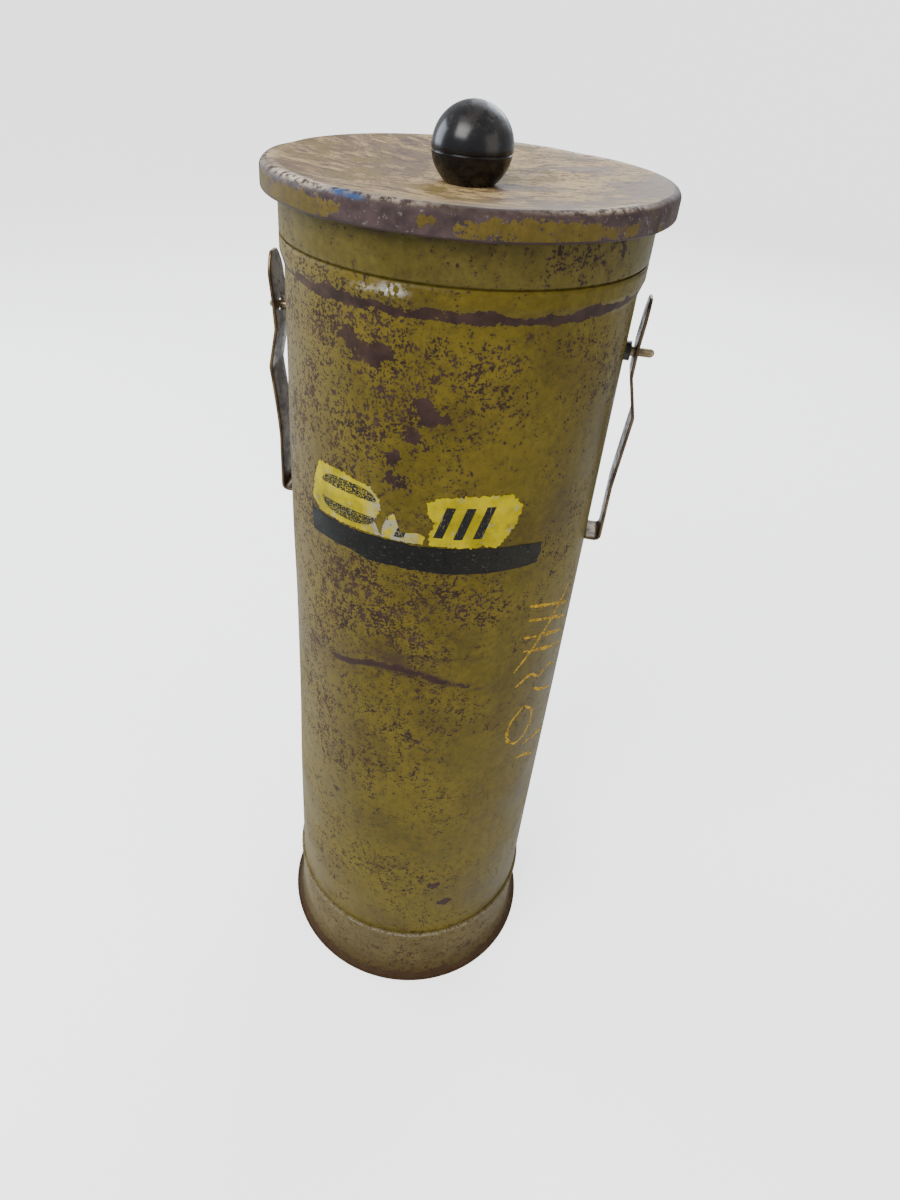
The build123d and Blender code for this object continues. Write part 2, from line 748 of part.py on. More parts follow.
def make_knob_insert():
    """Brass threaded insert moulded into the knob."""
    return ring(insert_radius, 0, knob_base, knob_base + insert_height) - rod_z(
        knob_stud_radius, knob_base - 1.0, knob_base + knob_stud_reach)


def make_knob_stud():
    """Threaded rod from the knob down through the lid."""
    return rod_z(knob_stud_radius, stud_end, knob_base + knob_stud_reach)


def make_lid_washer():
    """Washer under the liner."""
    return ring(washer_radius, knob_stud_radius + screw_gap, nut_top, liner_bottom)


def make_lid_nut():
    """Hexagon nut that holds knob, lid and liner together."""
    corner = nut_across_flats / math.sqrt(3)
    nut = Pos(0, 0, nut_bottom) * extrude(RegularPolygon(corner, 6), nut_height)
    cone = ring(corner, 0, nut_bottom, nut_top)
    cone = chamfer(cone.edges(), nut_chamfer)
    return (nut & cone) - rod_z(knob_stud_radius, stud_end, rim_top)


def make_label_stripe():
    """Dark foil stripe round the front of the shell."""
    return sector(shell_radius + label_foil, shell_radius, stripe_bottom, stripe_bottom + stripe_height,
                  *stripe_span)


def make_label_panels():
    """What is left of the foil label above the stripe: two panels."""
    low = stripe_bottom + stripe_height + label_gap
    return Compound(children=[sector(shell_radius + label_foil, shell_radius, low, low + label_height,
                                     *span) for span in label_spans])


pieces = {
    "outer_shell": make_outer_shell(),
    "top_collar": make_top_collar(),
    "base_sleeve": make_base_sleeve(),
    "base_plate": make_base_plate(),
    "base_tabs": make_base_tabs(),
    "base_screws": make_base_screws(),
    "bulkhead_plate": make_bulkhead_plate(),
    "base_insulation": make_base_insulation(),
    "inner_tube": make_inner_tube(),
    "inner_floor": make_inner_floor(),
    "insulation_sleeve": make_insulation_sleeve(),
    "heater_band": make_heater_band(),
    "heater_clamps": make_heater_clamps(),
    "clamp_screws": make_clamp_screws(),
    "thermostat": make_thermostat(),
    "terminal_block": make_terminal_block(),
    "earth_screw": make_earth_screw(),
    "heater_leads": make_heater_leads(),
    "inlet_leads": make_inlet_leads(),
    "inlet_surround": make_inlet_surround(),
    "power_inlet": make_power_inlet(),
    "inlet_pins": make_inlet_pins(),
    "earth_contact": make_earth_contact(),
    "inlet_screws": make_inlet_screws(),
    "strap_studs": make_strap_studs(),
    "stud_bosses": make_stud_bosses(),
    "clip_foot_left": make_clip_foot(-1),
    "clip_foot_right": make_clip_foot(1),
    "clip_blade_left": make_clip_blade(-1),
    "clip_blade_right": make_clip_blade(1),
    "label_stripe": make_label_stripe(),
    "label_panels": make_label_panels(),
    "lid_pan": make_lid_pan(),
    "lid_seal": make_lid_seal(),
    "lid_liner": make_lid_liner(),
    "lid_insulation": make_lid_insulation(),
    "ball_knob": make_ball_knob(),
    "knob_insert": make_knob_insert(),
    "knob_stud": make_knob_stud(),
    "lid_washer": make_lid_washer(),
    "lid_nut": make_lid_nut(),
}

os.makedirs("parts", exist_ok=True)
for name, piece in pieces.items():
    export_step(piece, f"parts/{name}.step")

print("stud height", stud_height, "keeper foot", keeper_foot, "seam", seam, "swage bottom", swage_bottom)
print("floor top", floor_top, "nut bottom", nut_bottom, "rim top", rim_top, "knob base", knob_base)
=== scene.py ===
"""A portable heated canister for welding electrodes, dressed in its worn workshop finish.

Every piece is set out in millimetres in the frame's own axes: +Z up, the label facing -Y, the power
inlet at +Y. Azimuth is in degrees from -Y towards +X, and height is above the ground.
"""
import math

import bmesh
import bpy
import numpy as np
from mathutils import Matrix, Vector


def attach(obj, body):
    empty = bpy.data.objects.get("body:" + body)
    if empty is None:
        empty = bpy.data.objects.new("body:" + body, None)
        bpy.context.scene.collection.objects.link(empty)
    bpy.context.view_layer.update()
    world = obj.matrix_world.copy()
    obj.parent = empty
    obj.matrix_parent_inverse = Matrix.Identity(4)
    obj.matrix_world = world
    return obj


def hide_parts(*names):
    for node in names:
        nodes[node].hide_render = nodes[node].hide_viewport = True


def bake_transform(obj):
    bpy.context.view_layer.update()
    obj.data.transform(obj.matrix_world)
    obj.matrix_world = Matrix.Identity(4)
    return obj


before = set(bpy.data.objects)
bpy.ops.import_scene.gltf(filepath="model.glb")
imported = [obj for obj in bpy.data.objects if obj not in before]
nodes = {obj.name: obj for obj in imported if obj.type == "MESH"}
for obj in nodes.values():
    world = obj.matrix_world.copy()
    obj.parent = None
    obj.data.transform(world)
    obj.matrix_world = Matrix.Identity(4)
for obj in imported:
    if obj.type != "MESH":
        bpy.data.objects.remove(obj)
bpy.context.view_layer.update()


# ---- Outer shell ---------------------------------------------------------------------------------
# The wall is steel sheet rolled and welded into a tube, swaged out at its top end for the collar.
# It is sprayed olive over a purple-brown primer, and years in a workshop have dented and chipped it.
MM = 0.001
SHELL_RADIUS = 80.0
DEGREE_RUN = math.radians(1) * SHELL_RADIUS      # one degree round the wall
SHELL_FOOT = 6.0
SHELL_SHEET = 1.0
SWAGE_LOW, SWAGE_HIGH, SEAM = 471.0, 477.5, 484.0
SWAGED_RADIUS = 82.0
INLET_OPENING = (20.5, 11.5)      # half width and half height of the hole behind the inlet's frame
INLET_HEIGHT = 75.0

OLIVE = (0.076, 0.055, 0.0024, 1)
OLIVE_FADED = (0.124, 0.093, 0.010, 1)
PRIMER = (0.034, 0.0175, 0.0145, 1)
# Dust colour, also laid over the left-hand side as a painted sheen of a cool light
DUST_AND_SHEEN = (0.190, 0.150, 0.070, 1)
DIRT = (0.030, 0.017, 0.006, 1)
GROUND_DIRT = (0.045, 0.027, 0.010, 1)
# Smeared primer colour, also used as painted shade above the crease and under the lid's hem
SMEARED_PRIMER_AND_SHADE = (0.030, 0.015, 0.014, 1)
# Rubbed steel colour, also used as a painted highlight on the swage and along the sleeve's bead
RUBBED_METAL_AND_HIGHLIGHT = (0.66, 0.63, 0.57, 1)
PAINT_GLOSS = 0.12


def rounded_path(corners, radii, step):
    """Points no further than step apart along straight runs joined by tangent arcs. An arc of
    radius r that turns by t starts r * tan(t / 2) before its corner and ends as far after it."""
    corners = np.array(corners, float)
    path = [corners[:1]]
    for before, here, after, radius in zip(corners, corners[1:], corners[2:], radii):
        back = (before - here) / np.linalg.norm(before - here)
        on = (after - here) / np.linalg.norm(after - here)
        turn = math.pi - math.acos(np.clip(back @ on, -1, 1))
        if radius == 0 or turn < 0.001:
            path.append(here[None])
            continue
        reach = radius * math.tan(turn / 2)
        middle = here + (back + on) / np.linalg.norm(back + on) * radius / math.cos(turn / 2)
        share = np.linspace(0, 1, max(4, int(radius * turn / step * 3)))[:, None]
        first = here + back * reach - middle
        last = here + on * reach - middle
        arc = np.sin((1 - share) * turn) * first + np.sin(share * turn) * last
        path.append(middle + arc / math.sin(turn))
    path = np.vstack(path + [corners[-1:]])
    return divided(path, step)


def divided(path, step):
    """The same line with its long runs cut into equal lengths no longer than step."""
    gaps = np.linalg.norm(np.diff(path, axis=0), axis=1)
    path = path[np.append(True, gaps > 1e-9)]
    gaps = gaps[gaps > 1e-9]
    along = np.append(0, np.cumsum(gaps))
    cuts = [np.linspace(a, b, int(np.ceil(g / step)), endpoint=False)
            for a, b, g in zip(along, along[1:], gaps)]
    places = np.append(np.concatenate(cuts), along[-1])
    return np.stack([np.interp(places, along, path[:, k]) for k in range(path.shape[1])], -1)


def sheet_section(path, thickness):
    """The closed outline of a sheet: its outer face, and back along that line moved to the left."""
    run = np.gradient(path, axis=0)
    left = np.stack([-run[:, 1], run[:, 0]], -1) / np.linalg.norm(run, axis=1)[:, None]
    return np.vstack([path, (path + left * thickness)[::-1], path[:1]])


def spot(azimuth, height, middle, size):
    """A soft round mark, exp(-(turn / width)^2 - (rise / length)^2), with the turn the short way round."""
    turn = (azimuth - middle[0] + 180) % 360 - 180
    return np.exp(-(turn / size[0]) ** 2 - ((height - middle[1]) / size[1]) ** 2)


def spots(azimuth, height, marks):
    """The sum of soft marks, each given as (azimuth, height, width, length, strength)."""
    return sum(strength * spot(azimuth, height, (a, z), (width, length))
               for a, z, width, length, strength in marks)


def smooth(value, low, high):
    """0 below low, 1 above high, and 3t^2 - 2t^3 between."""
    share = np.clip((value - low) / (high - low), 0, 1)
    return share * share * (3 - 2 * share)


CREASE = ((-52, 281), (-42, 282), (-32, 282.5), (-22, 285.5), (-12, 291), (-1, 291.5), (8, 289), (22, 283),
          (43, 272))
HOLLOWS = ((-80, 246, 36, 58, 2.3), (24, 300, 26, 20, 0.7))
CREASE_DEPTH, WAVE_DEPTH = 0.55, 0.10
DEEPEST = 0.85                    # the wall stays outside the wool behind it
DENTED_FROM, DENTED_TO = (62, 110), (425, 465)
wave_turns = np.arange(2, 8)
wave_places = np.random.default_rng(4).uniform(0, 2 * math.pi, (6, 2))


def crease_rise(azimuth, height):
    """Height above the crease, whose line runs through the points of CREASE."""
    turn = (azimuth + 180) % 360 - 180
    return height - np.interp(turn, *np.array(CREASE).T)


def crease_share(azimuth):
    """1 along the crease's length and 0 beyond its ends."""
    turn = (azimuth + 180) % 360 - 180
    return smooth(turn, -70, -46) * (1 - smooth(turn, 16, 46))


def dent(azimuth, height):
    """How far the wall is pushed in: the two broad HOLLOWS, a crease that is steep below its line and
    shallow above, and slow waves of the sheet, all levelled off as DEEPEST * tanh(d / DEEPEST)."""
    hollow = spots(azimuth, height, HOLLOWS)
    rise = crease_rise(azimuth, height)
    crease = CREASE_DEPTH * crease_share(azimuth) * np.exp(-np.where(rise > 0, rise / 15, -rise / 9))
    angle = np.radians(azimuth)[..., None]
    drift = np.sin(height[..., None] / 61 + wave_places[:, 1])
    waves = np.sin(wave_turns * angle + wave_places[:, 0] + drift)
    free = smooth(height, *DENTED_FROM) * (1 - smooth(height, *DENTED_TO))
    return DEEPEST * np.tanh(free * (hollow + crease + WAVE_DEPTH * waves.sum(-1) / 2) / DEEPEST)


wall_profile = rounded_path([(SHELL_RADIUS, SHELL_FOOT), (SHELL_RADIUS, SWAGE_LOW),
                             (SWAGED_RADIUS, SWAGE_HIGH), (SWAGED_RADIUS, SEAM)], (3, 3), 2.3)


def round_up(radius, azimuth, height):
    """Points at a radius, an azimuth and a height."""
    radius, azimuth, height = np.broadcast_arrays(radius, np.radians(azimuth), height)
    return np.stack([radius * np.sin(azimuth), -radius * np.cos(azimuth), height], -1)


def on_wall(azimuth, height, proud=0.0):
    """Points on the dented wall, or that far outside it."""
    radius = np.interp(height, wall_profile[:, 1], wall_profile[:, 0])
    return round_up(radius - dent(azimuth, height) + proud, azimuth, height)


def skin(name, grids, marks=None, keep=None, sharp=38.0):
    """A mesh of quads from grids of points. A quad joins point (i, j) to (i, j + 1), (i + 1, j + 1)
    and (i + 1, j), and points that coincide are welded, which closes every seam and pole."""
    points, quads, start = [], [], 0
    for grid in grids:
        rows, columns = grid.shape[:2]
        index = start + np.arange(rows * columns).reshape(rows, columns)
        points.append(grid.reshape(-1, 3))
        corners = [index[:-1, :-1], index[:-1, 1:], index[1:, 1:], index[1:, :-1]]
        quads.append(np.stack(corners, -1).reshape(-1, 4))
        start += rows * columns
    points, quads = np.vstack(points), np.vstack(quads)
    if keep is not None:
        quads = quads[keep(points[quads].mean(1))]
    mesh = bpy.data.meshes.new(name)
    mesh.from_pydata((points * MM).tolist(), [], quads.tolist())
    for mark, values in (marks or {}).items():
        data = np.concatenate([np.asarray(v, np.float32).ravel() for v in values])
        mesh.attributes.new(mark, "FLOAT", "POINT").data.foreach_set("value", data)
    form = bmesh.new()
    form.from_mesh(mesh)
    bmesh.ops.remove_doubles(form, verts=form.verts, dist=2e-6)
    bmesh.ops.delete(form, geom=[v for v in form.verts if not v.link_faces], context="VERTS")
    form.to_mesh(mesh)
    form.free()
    mesh.shade_smooth()
    mesh.set_sharp_from_angle(angle=math.radians(sharp))
    piece = bpy.data.objects.new(name, mesh)
    bpy.context.scene.collection.objects.link(piece)
    return piece


def fit(piece, body, stands_for, finish):
    """The piece rides on a body, stands for CAD nodes and takes its finish from one of the slots."""
    piece.data.materials.append(finish)
    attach(piece, body)
    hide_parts(*stands_for)
    return piece


def dress(finish, *names):
    """Gives CAD nodes that are shown as they are their finish."""
    for name in names:
        for place in nodes[name].material_slots:
            place.material = finish


class Nodes:
    """Shader nodes added one at a time. A socket is given a value, or another node's output."""

    def __init__(self, tree):
        self.tree = tree

    def add(self, kind, sockets=None, **settings):
        node = self.tree.nodes.new("ShaderNode" + kind)
        for name, value in settings.items():
            setattr(node, name, value)
        for name, value in (sockets or {}).items():
            if isinstance(value, bpy.types.NodeSocket):
                self.tree.links.new(value, node.inputs[name])
            else:
                node.inputs[name].default_value = value
        return node

    def maths(self, operation, *values, clamp=False):
        return self.add("Math", dict(enumerate(values)), operation=operation, use_clamp=clamp).outputs[0]

    def plus(self, *values):
        return self.maths("ADD", *values)

    def less(self, *values, clamp=False):
        return self.maths("SUBTRACT", *values, clamp=clamp)

    def times(self, *values):
        return self.maths("MULTIPLY", *values)

    def mix(self, share, below, above, blend="MIX"):
        return self.add("Mix", {0: share, 6: below, 7: above}, data_type="RGBA", blend_type=blend,
                        clamp_result=False).outputs[2]

    def rise(self, value, low, high, start=0.0, end=1.0):
        """Goes smoothly from start, where value is low, to end, where it is high."""
        return self.add("MapRange", {0: value, 1: low, 2: high, 3: start, 4: end},
                        interpolation_type="SMOOTHSTEP").outputs[0]

    def noise(self, place, scale, detail=4.0, rough=0.55, warp=0.0):
        return self.add("TexNoise", {"Vector": place, "Scale": scale, "Detail": detail, "Roughness": rough,
                                     "Distortion": warp}).outputs[0]

    def stretched(self, place, scale):
        return self.add("Mapping", {"Vector": place, "Scale": scale}).outputs[0]

    def place(self):
        return self.add("TexCoord").outputs["Object"]

    def mark(self, name):
        return self.add("Attribute", attribute_name=name).outputs["Fac"]

    def effect(self, tree, sockets):
        return self.add("Group", sockets, node_tree=tree).outputs


def new_effect(name, takes, gives):
    """An empty shader node group, whose sockets are given by name and kind: Float, Vector or Color."""
    tree = bpy.data.node_groups.new(name, "ShaderNodeTree")
    for side, sockets in (("INPUT", takes), ("OUTPUT", gives)):
        for socket, kind in sockets.items():
            tree.interface.new_socket(socket, in_out=side, socket_type="NodeSocket" + kind)
    return Nodes(tree), tree.nodes.new("NodeGroupInput").outputs, tree.nodes.new("NodeGroupOutput").inputs


def new_finish(name):
    """A material with nothing in it but its own shader."""
    finish = bpy.data.materials.new(name)
    finish.use_nodes = True
    return finish, Nodes(finish.node_tree), finish.node_tree.nodes["Principled BSDF"]


def shade(graph, shader, sockets, height=None, strength=0.4, depth=0.0002):
    """Sets or links the shader's sockets, and turns a height into bumps that deep in metres."""
    if height is not None:
        bump = graph.add("Bump", {"Height": height, "Strength": strength, "Distance": depth})
        sockets = {**sockets, "Normal": bump.outputs[0]}
    for name, value in sockets.items():
        if isinstance(value, bpy.types.NodeSocket):
            graph.tree.links.new(value, shader.inputs[name])
        else:
            shader.inputs[name].default_value = value


def make_chipped_paint():
    """Old paint over primer. Fine specks open where one noise passes a limit that falls as Specks
    rises, larger flakes where a broader noise passes one that falls as Flakes rises."""
    graph, takes, gives = new_effect(
        "chipped_paint",
        {"Place": "Vector", "Paint": "Color", "Faded": "Color", "Primer": "Color", "Specks": "Float",
         "Flakes": "Float"},
        {"Color": "Color", "Bare": "Float", "Height": "Float", "Roughness": "Float"})
    place = takes["Place"]
    fine = graph.noise(place, 840, 2, 0.5)
    middle = graph.noise(place, 270, 7, 0.76)
    broad = graph.noise(place, 88, 8, 0.68, 0.4)
    speck = graph.plus(graph.times(fine, 0.45), graph.times(middle, 0.55))
    patchy = graph.rise(graph.noise(place, 34, 4, 0.6), 0.35, 0.65, 0.035, -0.030)
    speck_limit = graph.plus(patchy, graph.maths("MULTIPLY_ADD", takes["Specks"], -0.150, 0.636))
    specks = graph.rise(graph.less(speck, speck_limit), 0.0, 0.008)
    ragged = graph.plus(graph.times(broad, 0.58), graph.times(speck, 0.42))
    flake_limit = graph.maths("MULTIPLY_ADD", takes["Flakes"], -0.33, 0.74)
    over = graph.less(ragged, flake_limit)
    flakes = graph.rise(over, 0.0, 0.008)
    bare = graph.maths("MAXIMUM", specks, flakes)
    lifted = graph.less(graph.rise(over, -0.03, 0.0), flakes, clamp=True)
    cloud = graph.rise(graph.noise(place, 17, 4, 0.6), 0.30, 0.72)
    runs = graph.rise(graph.noise(graph.stretched(place, (150, 150, 14)), 1.0, 4, 0.6), 0.42, 0.7)
    paint = graph.mix(cloud, takes["Paint"], takes["Faded"])
    paint = graph.mix(graph.times(runs, 0.35), paint, takes["Faded"])
    mottle = graph.rise(middle, 0.3, 0.66, 1.15, 0.80)
    paint = graph.mix(1.0, paint, graph.add("CombineXYZ", {0: mottle, 1: mottle, 2: mottle}).outputs[0],
                      "MULTIPLY")
    paint = graph.mix(graph.times(lifted, 0.35), paint, takes["Faded"])
    tone = graph.rise(graph.noise(place, 130, 4, 0.6), 0.3, 0.7, 0.6, 1.35)
    primer = graph.mix(1.0, takes["Primer"], graph.add("CombineXYZ", {0: tone, 1: tone, 2: tone}).outputs[0],
                       "MULTIPLY")
    links = graph.tree.links
    links.new(graph.mix(bare, paint, primer), gives["Color"])
    links.new(bare, gives["Bare"])
    links.new(graph.maths("MULTIPLY_ADD", bare, -0.8, graph.times(fine, 0.35)), gives["Height"])
    links.new(graph.maths("MULTIPLY_ADD", bare, 0.16, graph.rise(cloud, 0.0, 1.0, 0.40, 0.54)),
              gives["Roughness"])
    return graph.tree


def make_grime():
    """Settled dirt: a slow cloud broken by a finer one, 1 where it lies thick."""
    graph, takes, gives = new_effect("grime", {"Place": "Vector", "Scale": "Float", "Amount": "Float"},
                                     {"Mask": "Float"})
    cloud = graph.noise(takes["Place"], takes["Scale"], 5, 0.62)
    grain = graph.noise(takes["Place"], 520, 3, 0.6)
    both = graph.plus(graph.times(cloud, 0.75), graph.times(grain, 0.25))
    low = graph.maths("MULTIPLY_ADD", takes["Amount"], -0.4, 0.72)
    mask = graph.rise(graph.less(both, low), 0.0, 0.14)
    graph.tree.links.new(mask, gives["Mask"])
    return graph.tree


chipped_paint = make_chipped_paint()
grime = make_grime()

BAND_HEIGHT = 473.2               # the bare band round the swage
# Where the paint has gone, as (azimuth, height, width, length, strength)
SHELL_FLAKES = (
    (-31, 452, 3, 4, 0.8), (-17, 441, 3, 4, 0.8), (-9, 443, 2.5, 3, 0.7), (-30, 432, 4, 3, 0.75),
    (-14, 431, 3, 3, 0.75), (-20, 422, 4, 4, 0.7), (-8, 412, 3, 4, 0.8), (-34, 404, 4, 5, 0.75),
    (-44, 440, 4, 6, 0.7), (-50, 415, 5, 8, 0.7), (-25, 390, 3, 6, 0.5), (8, 412, 2, 4, 0.75),
    (-24, 460, 5, 8, 0.95), (-20, 452, 4, 6, 0.75), (-11.5, 457, 6.5, 4.5, 0.95), (-14, 450, 4, 4, 0.7),
    (0, 437, 5, 6.5, 1.0), (4, 431, 4, 4, 0.8), (8.5, 431, 2.5, 3, 0.8), (12, 440, 2, 4, 0.75),
    (15, 444, 2, 3, 0.7), (-2, 423, 6, 6.5, 1.0), (-26, 415, 4, 5, 0.75), (-22, 438, 3, 4, 0.7),
    (-37, 465, 4, 5, 0.75), (-3, 397, 8, 9, 0.72), (-12, 405, 9, 9, 0.6), (36, 438, 2, 2.5, 0.85),
    (32, 433, 1.8, 2.5, 0.8), (10, 343, 2.5, 4, 0.65), (-10, 350, 4, 5, 0.6), (13, 271, 2.2, 10, 0.72),
    (13, 250, 2.2, 8, 0.72), (18, 228, 3, 5, 0.78), (17, 207, 2.5, 8, 0.72), (30.5, 247, 2, 6, 0.8),
    (-28, 177, 4, 4, 0.98), (-11, 199, 4, 5.5, 0.95), (24, 136, 3.5, 7, 0.95), (21, 107, 6, 6, 1.0),
    (26, 86, 5, 6, 1.0), (-18, 236, 14, 20, 0.42), (-30, 330, 22, 22, 0.42), (40, 205, 4, 18, 0.5),
    (120, 430, 9, 12, 0.85), (150, 300, 12, 18, 0.7), (-130, 380, 12, 14, 0.75), (-160, 210, 10, 16, 0.7),
    (175, 420, 8, 9, 0.8), (100, 180, 6, 14, 0.7), (-100, 440, 12, 12, 0.7), (-110, 130, 9, 12, 0.6),
    (180, 96, 30, 6, 0.7))
SHELL_SPECKS = (
    (-30, 425, 30, 48, 0.75), (-28, 315, 30, 34, 0.85), (-24, 225, 30, 36, 0.55), (8, 255, 20, 22, 0.35),
    (-60, 330, 26, 130, 0.45), (-95, 300, 30, 150, 0.40), (12, 330, 18, 25, 0.30), (60, 330, 26, 70, 0.30),
    (30, 455, 30, 16, 0.20),
    (-140, 350, 40, 90, 0.55), (140, 250, 45, 120, 0.45), (75, 440, 16, 22, 0.35), (10, 110, 60, 40, 0.18))


def shell_marks(azimuth, height):
    """The wear on the wall at each point, by name, each from 0 to about 1; parts of it are painted shade,
    sheen and highlight.
    """
    rise = crease_rise(azimuth, height)
    wander = np.sin(np.radians(azimuth) * 9) + np.sin(np.radians(azimuth) * 23 + 1)
    band_at = BAND_HEIGHT + 0.5 * wander + 2.2 * smooth(np.abs(azimuth), 40, 80)
    band = 1 - smooth(np.abs(height - band_at) - 0.6 * wander, 0.6, 5.2)
    crease = crease_share(azimuth) * np.exp(-(np.abs(rise - 0.5) / 2.6) ** 1.5)
    crease = crease * (0.6 + 0.4 * smooth(azimuth, -40, -22))
    # Painted shade on the crease's shallow upper slope: darkened with smeared primer and bared a little to
    # primer
    above = spots(azimuth, height, ((-5, 299, 13, 7, 0.8), (21, 300.5, 9, 1.6, 1.1), (-38, 286, 9, 4, 0.5)))
    side = (azimuth + 180) % 360 - 180
    flakes = spots(azimuth, height, SHELL_FLAKES)
    specks = 0.38 + 0.10 * smooth(height, 240, 330) + 0.62 * spots(azimuth, height, SHELL_SPECKS)
    return {
        "flakes": np.clip(flakes + 1.05 * band + 1.1 * crease + 0.5 * above, 0, 1.3),
        "specks": np.clip(specks - 0.16 * smooth(side, 14, 40), 0, 0.78),
        "scuff_and_shade": np.clip(1.2 * crease + above, 0, 1),
        # Dust on the left-hand side, partly a painted sheen where that side reflects a cool light
        "dusty": np.clip(smooth(-side, 8, 78) * (1 - smooth(-side, 120, 170)) + 0.3 * spot(
            azimuth, height, (-40, 60), (50, 40)), 0, 1),
        # Rubbed metal on the swage at the front, partly a painted highlight where the key light catches it
        "shine": spots(azimuth, height, ((-10, 480.6, 3.2, 1.5, 1.15), (-18, 479.5, 3, 0.7, 0.7))),
    }


def olive_finish(name, paint=OLIVE, faded=OLIVE_FADED, primer=PRIMER, low_dirt=60.0):
    """Olive paint over primer, with dust on one side that is partly a painted sheen, brown dirt low down,
    smeared primer that is partly painted shade, and rubbed bright spots that are partly painted highlights.
    Reads the marks flakes, specks, scuff, dusty and shine."""
    finish, graph, shader = new_finish(name)
    place = graph.place()
    old = graph.effect(chipped_paint, {"Place": place, "Paint": paint, "Faded": faded, "Primer": primer,
                                       "Specks": graph.mark("specks"), "Flakes": graph.mark("flakes")})
    dirt = graph.effect(grime, {"Place": place, "Scale": 26.0, "Amount": 0.62})["Mask"]
    colour = graph.mix(graph.times(dirt, 0.34), old["Color"], DIRT)
    # Smeared primer along the crease and at the brim, with painted shade above the crease and under the lid's
    # hem
    smear = graph.noise(graph.stretched(place, (60, 60, 260)), 1.0, 3, 0.5)
    scuff_and_shade = graph.times(graph.mark("scuff_and_shade"), graph.rise(smear, 0.35, 0.6))
    colour = graph.mix(graph.times(scuff_and_shade, 0.85), colour, SMEARED_PRIMER_AND_SHADE)
    haze = graph.effect(grime, {"Place": place, "Scale": 44.0, "Amount": 0.85})["Mask"]
    # Dust, partly a painted sheen on the left-hand side
    dusty = graph.times(graph.mark("dusty"), graph.rise(haze, 0.0, 1.0, 0.22, 0.55))
    dusty = graph.times(dusty, graph.rise(old["Bare"], 0.0, 1.0, 1.0, 0.35))
    colour = graph.mix(dusty, colour, DUST_AND_SHEEN)
    high = graph.add("SeparateXYZ", {0: place}).outputs[2]
    low = graph.rise(high, 0.0, low_dirt * MM, 0.55, 0.0)
    colour = graph.mix(low, colour, GROUND_DIRT)
    # Rubbed bare metal, partly a painted highlight on the swage and the sleeve's bead
    scratched = graph.rise(graph.noise(place, 520, 6, 0.75), 0.47, 0.53)
    rub_and_highlight = graph.times(graph.mark("shine"), scratched)
    colour = graph.mix(rub_and_highlight, colour, RUBBED_METAL_AND_HIGHLIGHT)
    roughness = graph.maths("MULTIPLY_ADD", dusty, 0.25, old["Roughness"])
    roughness = graph.maths("MULTIPLY_ADD", rub_and_highlight, -0.18, roughness)
    shade(graph, shader, {"Base Color": colour, "Roughness": roughness,
                          "Metallic": graph.times(rub_and_highlight, 0.5), "Specular IOR Level": PAINT_GLOSS},
          height=old["Height"], strength=0.55, depth=0.00035)
    return finish


olive_paint = olive_finish("olive_paint")
columns = np.linspace(-180, 180, 205)
rows = wall_profile[:, 1]
wall_azimuth, wall_height = np.meshgrid(columns, rows)


def beside_inlet(middles):
    """True for the faces outside the rectangular hole behind the inlet's frame."""
    inside = (np.abs(middles[:, 0]) < INLET_OPENING[0]) & (middles[:, 1] > 0)
    return ~(inside & (np.abs(middles[:, 2] - INLET_HEIGHT) < INLET_OPENING[1]))


wall = skin("shell_wall", [on_wall(wall_azimuth, wall_height)],
            {k: [v] for k, v in shell_marks(wall_azimuth, wall_height).items()}, keep=beside_inlet)
fit(wall, "canister", ["outer_shell"], olive_paint)
sheet = wall.modifiers.new("sheet", "SOLIDIFY")
sheet.thickness = SHELL_SHEET * MM
sheet.offset = -1


# ---- Base sleeve ---------------------------------------------------------------------------------
# A short sleeve pushed over the shell's lower end and spot-welded. Its top is rolled into a bead and
# its bottom is flared into the brim that the canister stands on, which has rusted brown.
SLEEVE_RADIUS = 81.0
SLEEVE_TOP = 52.0
BEAD_LOW, BEAD_PROUD = 49.4, 1.0
FOOT_RADIUS, BRIM_HEIGHT, BRIM_INSIDE, BRIM_NECK = 86.5, 1.2, 84.0, 85.2
FLARE_TOP = 12.0


def flare(start, end, high, low):
    """A quarter-like arc that leaves a wall of radius start straight down and reaches radius end:
    its own radius r solves (end - start - r)^2 + (high - low)^2 = r^2."""
    out, fall = end - start, high - low
    radius = (out ** 2 + fall ** 2) / (2 * out)
    angle = np.linspace(0, math.asin(fall / radius), 14)
    return np.stack([start + radius - radius * np.cos(angle), high - radius * np.sin(angle)], -1)


def revolved(profile, count, push=None):
    """A grid turned about Z from (radius, height) points, each moved out by push(azimuth, height) where
    one is given, and the azimuth, radius and height of its points."""
    azimuth, row = np.meshgrid(np.linspace(-180, 180, count), np.arange(len(profile)))
    radius, height = profile[row, 0], profile[row, 1]
    if push is not None:
        radius = radius + push(azimuth, height)
    return round_up(radius, azimuth, height), azimuth, radius, height


